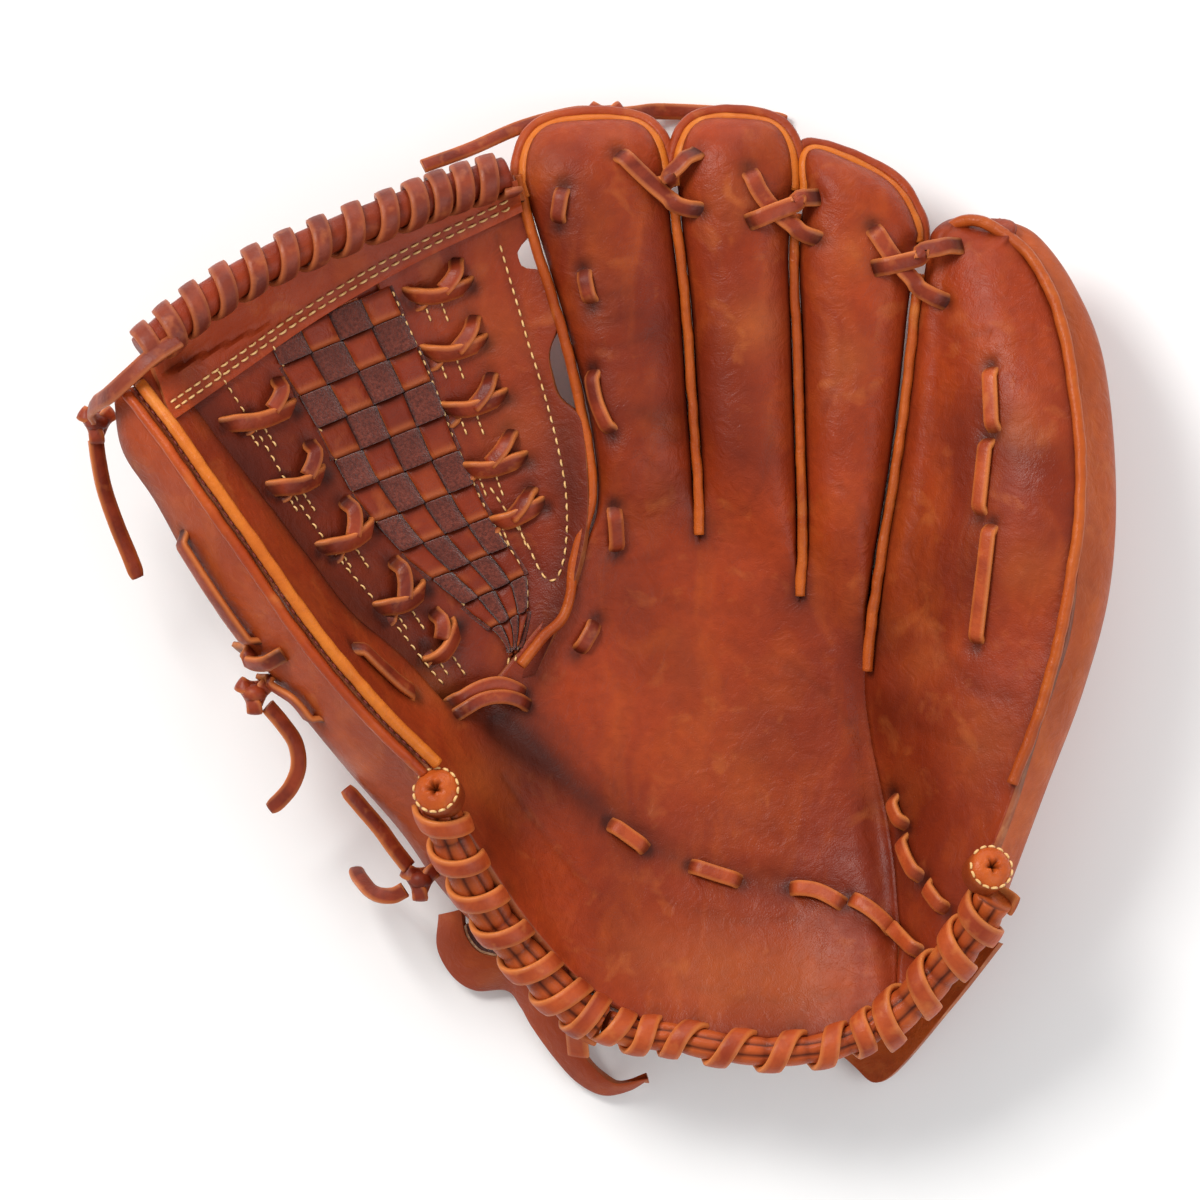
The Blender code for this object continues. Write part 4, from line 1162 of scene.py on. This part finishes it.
def make_weave(m):
    """Basket weave of real strips: smooth ones along the web, suede ones across it."""
    along, across = Part(), Part()
    v = np.linspace(WEAVE_FROM, WEAVE_TO, 16 * BARS + 1)
    phase = (v - WEAVE_FROM) / (WEAVE_TO - WEAVE_FROM) * BARS
    share = phase - np.floor(phase)
    t = np.linspace(0.06, 0.94, 7)
    for lane in range(LANES):
        rise = weave_wave(phase) * (1 if lane % 2 else -1)
        grid = web_points(weave_place(lane + t, v[:, None]), v[:, None])
        crest = np.maximum(rise, 0.0)[:, None] * (1.0 - 0.35 * (2.0 * t - 1.0) ** 2)
        grid[..., 2] += np.minimum(rise, 0.0)[:, None] + crest + WEAVE_LIFT
        tone = np.zeros(grid.shape)
        # Painted shade where the strip dives under the other and towards its upper end
        under = 0.22 - 0.40 * rise / WEAVE_RISE + 0.45 * smoothstep((share - 0.55) / 0.45)
        tone[..., 0] = np.clip(under, 0.0, 0.8)[:, None]
        # Painted highlight on the lower lip of each square
        tone[..., 1] = (0.45 * np.exp(-((share - 0.12) / 0.10) ** 2) * (rise > 0))[:, None]
        along.sheet(grid, WEAVE_STRIP, tone, 0.6)
    lane = np.linspace(0.0, LANES, 61)
    t = np.linspace(-1.0, 1.0, 7)[:, None]
    curl = 0.35 * t ** 4 + 0.75 * np.maximum(-t, 0.0) ** 3
    for bar in range(BARS):
        v = WEAVE_FROM + (WEAVE_TO - WEAVE_FROM) * (bar + 0.5 + 0.45 * t) / BARS
        grid = web_points(weave_place(lane, v), v)
        rise = weave_wave(lane) * (-1 if bar % 2 else 1)
        grid[..., 2] += rise + WEAVE_LIFT + curl
        tone = np.zeros(grid.shape)
        # Painted shade where the strip dives under and towards its upper edge
        tone[..., 0] = np.clip(0.20 - 0.40 * rise / WEAVE_RISE + 0.40 * smoothstep(t), 0.0, 0.8)
        across.sheet(grid, WEAVE_STRIP, tone, 0.9)
    made = [along.object("weave_strips_along", [m["web"]]),
            across.object("weave_strips_across", [m["suede"]])]
    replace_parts(made[0], "web_weave")
    for obj in made:
        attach(obj, "thumb_side")


def lacing_station(part, threads, tack, left, right, foot, head):
    """A thong on edge between two holes, one leaning over it, and the tacks beside them."""
    tack, left, right, foot, head = (np.array(p, float) for p in (tack, left, right, foot, head))
    ahead = unit(head - foot)
    centre = (left + right) / 2
    lace_on(part, (left, centre - ahead * 2.6, right), 1.8, wide=6.6, arch=1.3, twist=0.6)
    lace_on(part, (foot, (foot + head) / 2 + ahead[::-1] * (0.8, -0.8), head), 3.2, wide=5.6,
            arch=0.8, twist=-0.5, dive=(False, True))
    lace_on(part, (foot - ahead * 3.5 - (2.5, 0), foot - ahead * 8.5 - (4.0, 0)), 1.0, wide=4.6,
            twist=0.8)
    for shift in (-3.2, 2.8):
        start = centre - ahead * 4.5 + (shift, 0.0)
        seam(threads, (start, start + tack * 9.0), 2.0, 0.9, 0.36, shade=0.2)


def band_face():
    """The band above the weave, from its lower edge on the panels up to the roll."""
    low = flat_line(BAND_LOW, 1.6)
    high = spline([(x, y, 0) for x, y in BAND_HIGH], len(low) * 8)
    high = high[np.linspace(0, len(high) - 1, len(low)).astype(int)]
    rise = np.linspace(0.0, 1.0, BAND_ROWS)[:, None]
    band = low * (1 - rise[..., None]) + high * rise[..., None]
    under = FACE.drop(band.reshape(-1, 3))[0][:, 2].reshape(band.shape[:2])
    roll = spline(ROLL_LINE, len(low))[:, 2] - 3.0
    band[..., 2] = (smooth_line(under.T, 8).T + 2.4) * (1 - rise ** 1.5) + roll * rise ** 1.5
    return relief(band, 8.0, 0.4)


def stitch_web(threads, band):
    """Two rows along the band's lower edge, and the rows that hold the panels."""
    for inset in (3.0, 5.6):
        share = inset / 25.0
        line = band[0] * (1 - share) + band[-1] * share
        shift = unit(np.stack([-np.gradient(line[:, 1]), np.gradient(line[:, 0])], 1)) * inset
        seam(threads, band[0][2:-2, :2] + shift[2:-2], 3.1, 1.3, 0.42)
    beside = np.linspace(0.07, 0.92, 30)
    inner = np.linspace(0.25, 0.93, 30)
    inner_u = np.interp(inner, (0.25, 0.40, 0.55, 0.70, 0.83, 0.93),
                        (0.97, 0.98, 0.965, 0.95, 0.955, 0.96))
    for u, v, gap, radius in (
        (left_seam(beside) - 0.014, beside, 1.6, 0.38),
        (right_seam(beside) + 0.018, beside, 1.6, 0.38),
        (inner_u, inner, 1.6, 0.38),
        ((0.97, 0.95, 0.90, 0.83, 0.77, 0.72, 0.68),
         (0.25, 0.215, 0.21, 0.245, 0.32, 0.40, 0.47), 1.6, 0.38),
        (0.045, np.linspace(0.10, 0.92, 34), 1.8, 0.34),
    ):
        seam(threads, web_points(u, v)[:, :2], 2.3, gap, radius)


def make_web(m):
    """Panels, weave, band and lacing; gives back the part that collects the web's stitches."""
    panels = {
        "web_left_panel": web_panel(lambda v: 0.0 * v - 0.13, lambda v: left_seam(v) + 0.012,
                                    0.03, 0.97, 96, 30, 0.9),
        "web_right_panel": web_panel(lambda v: right_seam(v) - 0.012, inside_gap,
                                     0.03, 0.97, 96, 26, 0.9),
    }
    for name in panels:
        panels[name] = relief(panels[name], 2.0, 0.5)
        FACE.add(panels[name])
    FACE.add(web_panel(left_seam, right_seam, 0.06, 0.95, 60, 14, 1.2))
    band = band_face()
    FACE.add(band)
    threads, left, right = Part(), Part(), Part()
    stitch_web(threads, band)
    for station in RIGHT_STATIONS:
        lacing_station(right, threads, (0.35, -0.94), *station)
    for station in LEFT_STATIONS:
        lacing_station(left, threads, (0.55, -0.83), *station)
    for name, part in (("web_left_lace", left), ("web_right_lace", right)):
        obj = part.object(name + "_look", [m["lace"]])
        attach(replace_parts(obj, name), "thumb_side")
    make_weave(m)
    # Painted shade along the web's thumb edge and the lower half of its index edge
    dent(web_points(-0.05, np.linspace(0.0, 0.95, 60)), 9.0, 0.5)
    dent(web_points(1.0, np.linspace(0.0, 0.5, 40)), 6.0, 0.4)
    for name, grid in panels.items():
        obj = hide(name + "_look", [grid], WEB_HIDE, m["web"], m["edge"])
        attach(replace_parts(obj, name), "thumb_side")
    behind = web_panel(lambda v: left_seam(v) - 0.05, lambda v: right_seam(v) + 0.05,
                       0.06, 0.95, 60, 14, -1.6)
    backing = hide("web_backing", [behind], LINING_HIDE, m["web"], m["edge"])
    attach(backing, "thumb_side")
    top = hide("web_band_look", [band], WEB_HIDE, m["band"], m["edge"])
    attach(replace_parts(top, "web_top_band"), "thumb_side")
    return threads


def coil(line, turns, radius, start):
    """A path wound round a line, with the direction away from the line at each point."""
    per_turn = 26
    count = turns * per_turn + 1
    centre = spline(line, count)
    side, top = side_and_top(centre, (0.0, 0.0, 1.0))
    turn = (2.0 * math.pi * np.arange(count) / per_turn + start)[:, None]
    away = side * np.cos(turn) + top * np.sin(turn)
    return centre + away * radius, away


def make_roll(m):
    """The padded roll along the web's top, its winding thong and the loop at the thumb."""
    body, wrap = Part(), Part()
    path = even(ROLL_LINE, 1.5)
    body.round_strip(path, ROLL_RADIUS + 0.35 * rough_field(path, 8.0, 1.0), 20)
    roll = body.object("web_roll_look", [m["web"]])
    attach(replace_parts(roll, "web_top_roll"), "thumb_side")
    path, away = coil(ROLL_LINE, ROLL_TURNS, ROLL_RADIUS + 1.5, 0.6)
    wrap.thong(path, away, 7.0, LACE_THICK, wear=0.65)
    wrap.thong(even(LOOP_LINE, 1.2), (-0.35, 0.25, 1.0), LACE_WIDE, LACE_THICK)
    obj = wrap.object("web_wrap_look", [m["wrap"]])
    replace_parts(obj, "web_wrap_lace", "web_loop_lace")
    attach(obj, "thumb_side")


# ---------------------------------------------------------------- heel
HEEL_THUMB = ((-56, -72, 84), (-50, -88, 75), (-42, -103, 66), (-32, -118, 59), (-20, -132, 53),
              (-8, -143, 50), (0, -148, 49))
HEEL_HAND = ((2, -148, 49), (12, -152, 47), (24, -153, 47), (40, -156, 50), (58, -158, 51),
             (76, -157, 52), (90, -153, 53), (98, -147, 55))
HEEL_LITTLE = ((98, -150, 53), (110, -139, 58), (122, -126, 64), (131, -114, 70), (137, -104, 76))
HEEL_RADIUS = 7.0
HAND_HEEL_RADIUS = 5.2
ROSETTE_RINGS = 14
ROSETTE_SPOKES = 48
# Each part of the heel roll with its radius, length of a pillow, turns and width of its thong,
# the body that carries it, and the nodes that it replaces
HEEL_PARTS = (
    ("thumb", HEEL_THUMB, HEEL_RADIUS, 12.6, 7, 6.8, "thumb_bend",
     ("thumb_heel_roll", "thumb_heel_plug")),
    ("hand", HEEL_HAND, HAND_HEEL_RADIUS, 14.5, 7, 6.8, "hand", ("hand_heel_roll",)),
    ("little", HEEL_LITTLE, HEEL_RADIUS, 15.0, 4, 7.6, "little_bend",
     ("little_heel_roll", "little_heel_plug")),
)
# Plugs at the ends of the roll: place, radius and the way each looks
HEEL_PLUGS = {
    "thumb": ((-56.5, -66.5, 91), 8.2, (-0.25, 0.35, 1.0)),
    "little": ((135.5, -93.5, 81), 7.8, (0.35, 0.35, 1.0)),
}


def pillowed_roll(part, line, radius, pitch):
    """A stuffed roll pinched at its wraps, split by two dark slits along its top."""
    path = even(line, 0.9)
    swell = np.abs(np.sin(math.pi * run_along(path) / pitch)) ** 0.6
    side, top = side_and_top(path, (0.0, 0.0, 1.0))
    rings, tones = [], []
    for a in np.arange(36) * (2.0 * math.pi / 36):
        slit = max(math.exp(-((a - math.radians(at)) / 0.11) ** 2) for at in (72, 122))
        r = radius * (0.86 + 0.14 * swell) * (1.0 - 0.17 * slit)
        rings.append(path + (side * math.cos(a) + top * math.sin(a)) * r[:, None])
        # Painted shade in the slits and at the pinches; the swells are a little paler
        shade = np.clip(0.85 * slit + 0.55 * (1.0 - swell) ** 2, 0.0, 0.9)
        tones.append(np.stack([shade, 0.12 * swell * (1.0 - slit), np.full(len(path), 0.5)], 1))
    part.tube(np.stack(rings, 1)[:, ::-1], np.stack(tones, 1)[:, ::-1])


def rosette(part, at, radius, tilt):
    """The gathered leather plug at a heel roll's end, puckered to a star and stitched round."""
    at = np.array(at, float)
    axis = unit(np.array(tilt, float))
    u = unit(np.cross(axis, np.array([0.3, 1.0, 0.0])))
    v = np.cross(axis, u)
    s = np.linspace(0.0, 1.0, ROSETTE_RINGS + 1)[:, None]
    a = np.linspace(0.0, 2.0 * math.pi, ROSETTE_SPOKES + 1)
    pucker = np.cos(5 * a + 0.6) * np.exp(-((s - 0.22) / 0.2) ** 2)
    dome = 0.62 * np.sqrt(np.maximum(0.0, 1.0 - s ** 2.4)) - 0.5 * np.exp(-(s / 0.2) ** 2)
    height = radius * (dome + 0.09 * pucker)
    spoke = u * np.cos(a)[:, None] + v * np.sin(a)[:, None]
    grid = at + spoke * radius * s[..., None] + axis * height[..., None]
    # Painted shade in the centre, in the pucker folds and at the rim
    dark = 0.8 * np.exp(-(s / 0.16) ** 2) + 0.35 * np.maximum(0.0, -pucker)
    shade = np.minimum(0.9, dark + 4.0 * np.maximum(0.0, s - 0.9))
    tone = np.stack([shade, 0.0 * shade, 0.0 * shade + 0.7], -1)
    skirt = grid[-1] - axis * radius * 0.9
    index = np.arange((ROSETTE_RINGS + 2) * (ROSETTE_SPOKES + 1)).reshape(ROSETTE_RINGS + 2, -1)
    # The skirt under the rim gets painted shade
    part.add(np.concatenate([grid.reshape(-1, 3), skirt]), quads(index)[:, ::-1],
             np.concatenate([tone.reshape(-1, 3), np.tile([0.5, 0.0, 0.0], (len(skirt), 1))]))
    a = np.linspace(0.0, 2.0 * math.pi, 41)[:, None]
    ring = at + (u * np.cos(a) + v * np.sin(a)) * radius * 0.97 + axis * radius * 0.22
    part.stitches(ring, axis, 2.2, 1.0, 0.5, 1, lift=0.2)


def make_heel(m):
    """The heel roll in three parts, each with its thong wound round it, the outer two with plugs.
    """
    for name, line, radius, pitch, turns, wide, body, nodes in HEEL_PARTS:
        part, lace = Part(), Part()
        pillowed_roll(part, line, radius, pitch)
        if name in HEEL_PLUGS:
            rosette(part, *HEEL_PLUGS[name])
        obj = part.object(name + "_heel_look", [m["pillow"], m["thread"]])
        carry(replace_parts(obj, *nodes), body)
        path, away = coil(line, turns, radius + 1.2, -0.4)
        lace.thong(path, away, wide, LACE_THICK)
        # Painted shade in the hides next to the wound thong
        dent(path[::6], 4.0, 0.5)
        wrap = lace.object(name + "_heel_lace_look", [m["heel_lace"]])
        carry(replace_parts(wrap, name + "_heel_lace"), body)


# ---------------------------------------------------------------- faces and backs
def trough(left, right, floor, columns):
    """A stall's back at one station: down from one seam, under and up to the other."""
    t = np.linspace(0.0, 1.0, columns)
    depth = (1.0 - np.abs(2.0 * t - 1.0) ** 3.0) ** 0.55
    x = left[0] + (right[0] - left[0]) * (0.5 - 0.5 * np.cos(math.pi * t))
    y = left[1] + (right[1] - left[1]) * t
    top = left[2] + (right[2] - left[2]) * t - 3.2
    return np.stack([x, y, top + (floor - top) * depth], -1)


def finger_back(column, face, floor, tip_floor):
    """A stall's back, from seam to seam of its front; it rises from floor to tip_floor."""
    count = len(finger_rails(column))
    rows = []
    for i in range(4, len(face)):
        left, right = face[i][0].copy(), face[i][-1].copy()
        if i < count:
            rise = max(0.0, (i / SPAN_ROWS - 2.0) / (count / SPAN_ROWS - 2.0))
            low = floor + (tip_floor - floor) * rise ** 1.6
        else:
            turn = 0.5 * math.pi * (i - count + 1) / (len(face) - count)
            rise = (1.0 - math.cos(turn)) ** 1.3
            low = tip_floor + (face[-1, :, 2].mean() - 4.0 - tip_floor) * rise
            left, right = left + (-0.8, 0.48, 0.0), right + (0.8, 0.48, 0.0)
        rows.append(trough(left, right, low, 26)[::-1])
    return np.array(rows)


def seamed(seams, rows, cols, skip):
    """A smooth face through seams given from end to end, without its first skip columns."""
    return net_surface(np.stack([np.array(s, float) for s in seams], 1), rows, cols)[:, skip:]


def make_faces():
    """Every face of the front, joined where one hide runs through; kept for laying laces."""
    palm = palm_face()
    little = tip_rows(little_face(palm[-1, 6 * FINE:]), LITTLE_TIP, LITTLE_TIP_STEPS)
    thumb_seams = (THUMB_RIM, THUMB_OUTER, THUMB_UNDER, THUMB_LAST)
    little_seams = (LITTLE_RIM, LITTLE_OUTER, LITTLE_UNDER, LITTLE_LAST)
    grids = {
        "palm": relief(palm), "thumb": relief(thumb_face(palm)), "little": relief(little),
        "thumb_back": relief(seamed(thumb_seams, 150, 56, 2), 4.0, 0.7),
        "little_back": relief(seamed(little_seams, 130, 50, 1), 6.0, 0.7),
    }
    for name, column, tip, floor, tip_floor in FINGERS:
        root = palm[-1, column * FINE:(column + 1) * FINE + 1]
        front = tip_rows(finger_face(column, root), tip)
        grids[name] = relief(front)
        grids[name + "_back"] = relief(finger_back(column, front, floor, tip_floor), 9.0, 0.5)
    for grid in grids.values():
        FACE.add(grid)
    # Painted shade along the thumb strip's inner edge and the outer sides of thumb and little
    # finger
    dent(grids["thumb"][SPAN_ROWS:, -1], 5.5, 0.6)
    dent(even(THUMB_OUTER, 3.0), 8.0, 0.42)
    dent(even(LITTLE_OUTER, 3.0), 6.0, 0.25)
    fold, normals = FACE.drop_line(PALM_CREASE, 1.2)
    # The palm's fold and the fine creases are pressed in and get painted shade
    dent(fold, 5.5, 0.34, 1.5)
    dent(fold - normals, 1.8, 0.55, 0.7)
    for crease in CREASES:
        points, normals = FACE.drop_line(crease, 0.9)
        dent(points - normals * 0.3, 1.5, 0.16, 0.32)
    return grids


def make_hides(grids, m):
    """The palm hide, divided on the little finger's fold only, and the backs of the stalls."""
    palm = grids["palm"]
    split = SPLIT_COLUMN * FINE
    left = hide("palm_hide_left", [palm[:, :split + 1], grids["thumb"], grids["index"],
                                   grids["middle"], grids["ring"]], SHELL_HIDE, m["palm"],
                m["edge"], joined=True)
    right = hide("palm_hide_right", [palm[:, split:], grids["little"]], SHELL_HIDE, m["palm"],
                 m["edge"], joined=True)
    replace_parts(left, "palm_leather", "thumb_palm_leather")
    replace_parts(right, "little_palm_leather")
    carry(left, "thumb_bend")
    carry(right, "little_bend")
    for name, body, warm in (("thumb", "thumb_bend", 0.4), ("little", "little_finger_side", 0.65),
                             ("index", "hand", 0.4), ("middle", "hand", 0.4),
                             ("ring", "hand", 0.4)):
        obj = hide(name + "_back_look", [grids[name + "_back"]], BACK_HIDE, m["back"], m["edge"],
                   warm)
        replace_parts(obj, name + "_back")
        carry(obj, body)


def layer(grid, depth):
    """The same face moved inwards, for what lies behind the hide."""
    return grid - grid_normals(grid) * depth


def make_pads(grids, m):
    """Felt pads and the palm's lining, behind the hide and inside its outline."""
    behind = SHELL_HIDE + 1.0
    palm, little = grids["palm"], grids["little"]
    over_hand = palm[8:64:2, int(2.9 * FINE):int(5.7 * FINE):2]
    felt_at = {
        "palm_pad": (over_hand, "hand"),
        "thumb_pad": (palm[28:68:2, 6:int(1.2 * FINE)], "thumb_side"),
        "little_pad": (little[2:90:2, 10:32], "little_bend"),
    }
    for name, (grid, body) in felt_at.items():
        obj = hide(name + "_look", [layer(grid, behind)], PAD_FELT, m["felt"], m["felt"])
        carry(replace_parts(obj, name), body)
    lining = layer(over_hand, behind + PAD_FELT + 1.0)
    obj = hide("palm_lining_look", [lining], LINING_HIDE, m["lining"], m["lining"])
    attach(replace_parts(obj, "palm_lining"), "hand")


def flat_panel(rows, m, node, body):
    """A panel of the back that lies on the resting surface, its thickness upwards."""
    obj = hide(node + "_look", [net_surface(rows, 44, 50)], BACK_HIDE, m["back"], m["edge"], 0.6)
    carry(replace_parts(obj, node), body)


def make_hand_back(m):
    """The leather across the back of the hand, and the flap below the heel."""
    across = ((10, 6), (17, 0.4), (43, 0.2), (70, 0.2), (93, 0.4), (99, 6))
    flat_panel([[(x, y, z) for x, z in across] for y in (9, -12, -35, -58)], m, "hand_back", "hand")
    inner = np.array(((40, -120, 0.5), (60, -120, 0.5), (76, -118, 1), (90, -116, 2),
                      (107, -116, 3), (121, -113, 6)))
    outer = np.array(((46, -140, 0.5), (80, -149, 1), (91, -165, 3), (102, -169, 6),
                      (125, -143, 13), (142, -121, 22)))
    flat_panel((inner, (inner + outer) / 2, outer), m, "wrist_flap", "little_bend")


# ---------------------------------------------------------------- wrist strap
STRAP_LOW = (
    (-57, -111, 10), (-57.5, -123, 8), (-52, -133, 6), (-44, -138, 5), (-33, -138, 4.5),
    (-28, -144, 4.5), (-24, -151, 4.5), (-16, -162, 4.5), (-8, -170.5, 4.5), (1, -175, 5),
    (10, -173.5, 7), (17, -169.5, 10),
)
STRAP_HIGH = (
    (-49, -109, 19), (-47.5, -118, 18), (-43, -124, 17), (-37, -126, 17), (-30, -128, 17),
    (-23, -134, 17), (-16, -143, 16), (-11, -153, 15), (-5.5, -161, 14), (-0.5, -166.5, 13),
    (5.5, -170.5, 12.5), (16.8, -168.6, 13),
)


def make_strap(m):
    """The wrist strap stands nearly on edge, its rim towards the camera, its end curled."""
    face = net_surface((STRAP_HIGH, STRAP_LOW), 9, 110).swapaxes(0, 1)
    face[..., 2] += 1.4 * np.sin(math.pi * np.linspace(0.0, 1.0, 9))
    outer = hide("wrist_strap_look", [face], STRAP_HIDE, m["back"], m["edge"], 0.5)
    inner = layer(face, STRAP_HIDE + 0.3)[1:80, 1:-1]
    rim = face[6:34, 0] - np.array([0.0, 0.0, 1.0])
    ease = np.linspace(0.0, 1.0, 6)[None, :, None]
    tuck = rim[:, None] + ease * np.array([4.0, 2.5, -7.0])
    fleece = hide("wrist_strap_fleece", [inner, tuck], LINING_HIDE, m["suede"], m["fleece"])
    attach(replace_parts(outer, "wrist_strap"), "wrist_strap")
    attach(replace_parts(fleece, "wrist_strap_lining"), "wrist_strap")


# ---------------------------------------------------------------- knots and free lace ends
KNOTS = {
    "web_loop_knot": (-175.5, 62.0, 66.0),
    "thumb_lace_knot": (-120.5, -32.5, 66.0),
    "wrist_lace_knot": (-63.0, -98.0, 48.0),
    "index_tip_knot": (2.0, 170.0, 16.0),
}
TAILS = {
    "web_loop_tail": (
        (-176, 56, 64), (-175, 48, 61), (-173, 38, 57), (-169, 26, 52), (-165, 16, 48),
        (-162, 8, 45),
    ),
    "thumb_lace_tail": (
        (-116, -37, 64), (-111, -43, 61), (-106.5, -50, 57), (-105.5, -58, 53),
        (-108, -65, 49), (-112, -70, 45), (-115.5, -73, 42),
    ),
    "wrist_lace_tail_upper": (
        (-67, -93.5, 49), (-72, -87, 51), (-77, -80, 52), (-83, -73, 52), (-89, -66, 51),
    ),
    "wrist_lace_tail_lower": (
        (-68.5, -101.5, 47), (-72.5, -103.5, 45), (-77, -103.5, 41), (-80.5, -102, 36),
        (-83, -99.5, 30), (-85, -97, 24), (-86, -95, 18),
    ),
    "index_tip_tail": (
        (8.4, 171, 15.5), (12.5, 171.5, 12), (19, 172.5, 6.5), (27, 172.5, 3.2), (38, 172, 2.4),
        (52, 171, 2.4), (66, 169, 2.4),
    ),
}
TAIL_WIDE = 5.8
KNOT_HALF = 3.7
KNOT_WIDE = 5.6
KNOT_CORE = ((0, -2.6, 0), (0, -1.3, 0.3), (0, 0, 0.4), (0, 1.3, 0.3), (0, 2.6, 0))
TOP_LACE = ((-62, 152, 44), (-46, 158, 38), (-28, 166, 32), (-10, 171, 27), (0, 171.5, 20))
STRAP_TAB = ((-9, -144, 40), (-8.5, -150, 34), (-8, -155, 29), (-7.5, -160, 25))


def tail_face(name, path):
    """Which way a free lace's flat side looks, turning a little along it."""
    if name == "index_tip_tail":
        return 0.0, 0.0, 1.0
    turn = np.linspace(0.0, 1.0, len(path))[:, None]
    return unit(np.array([0.45, 0.1, 0.88]) * (1 - turn) + np.array([0.1, 0.2, 0.97]) * turn)


def make_cords(m):
    """The free lace ends, each on the body that its knot is on."""
    for name, route in TAILS.items():
        path = even(route, 1.0)
        part = Part()
        taper = np.ones(len(path))
        taper[-3:] = (0.96, 0.88, 0.76)
        part.thong(path, tail_face(name, path), TAIL_WIDE, LACE_THICK, taper=taper)
        obj = part.object(name + "_look", [m["lace"]])
        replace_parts(obj, name)
        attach(obj, "hand" if name == "index_tip_tail" else "thumb_side")


def make_knots(m):
    """Loops of thong drawn together over a round core."""
    for name, at in KNOTS.items():
        part = Part()
        k = np.linspace(0.0, 2.0 * math.pi, 60)
        loops = np.stack([KNOT_HALF * (np.sin(k) + 0.55 * np.sin(2 * k)),
                          KNOT_HALF * (np.cos(k) - 0.55 * np.cos(2 * k)) * 1.1,
                          -1.5 * np.sin(3 * k)], 1)
        part.thong(at + loops, unit(loops + (0.0, 0.0, 2.0)), KNOT_WIDE, 2.5)
        part.round_strip(np.add(at, KNOT_CORE), (2.4, 4.2, 4.7, 4.2, 2.4))
        obj = part.object(name + "_look", [m["lace"]])
        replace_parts(obj, name)
        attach(obj, "hand" if name == "index_tip_knot" else "thumb_side")


def make_back_laces(m):
    """The thong behind the index tip and the tab that holds the strap to the heel."""
    part = Part()
    part.thong(even(TOP_LACE, 1.2), (0.2, 0.4, 0.9), 5.0, LACE_THICK)
    top = part.object("index_top_lace", [m["lace"]])
    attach(top, "hand")
    part = Part()
    part.thong(even(STRAP_TAB, 1.2), (-0.3, -0.4, 0.85), 8.0, 2.6)
    tab = part.object("strap_tab", [m["heel_lace"]])
    carry(tab, "thumb_bend")


def make_outer_lace(m):
    """The thong along the thumb's outer side, with the loop that its knot ties off."""
    part = Part()
    for plan, lift, wide in (
        (((-146, 23), (-141, 15), (-134, 4), (-126.5, -7), (-120, -16)), 1.8, LACE_WIDE),
        (((-126, -16.5), (-121, -19), (-116, -20), (-110, -19)), 3.8, 6.0),
        (((-117, -26), (-111, -30), (-105, -34), (-98, -43)), 2.0, 4.6),
    ):
        lace_on(part, plan, lift, wide, taut=True)
    obj = part.object("thumb_outer_lace_look", [m["lace"]])
    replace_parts(obj, "thumb_outer_lace")
    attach(obj, "thumb_side")


def main():
    """Builds everything; the hides come last, as they take the dents of what lies on them."""
    make_camera()
    m = make_materials()
    make_cords(m)
    make_studio()
    grids = make_faces()
    make_knots(m)
    threads = make_web(m)
    make_roll(m)
    make_front_laces(m)
    make_outer_lace(m)
    make_back_laces(m)
    make_welts(grids, m)
    make_heel(m)
    stitched = threads.object("web_stitches", [m["thread"]])
    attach(stitched, "thumb_side")
    make_hides(grids, m)
    make_hand_back(m)
    make_strap(m)
    make_pads(grids, m)


main()
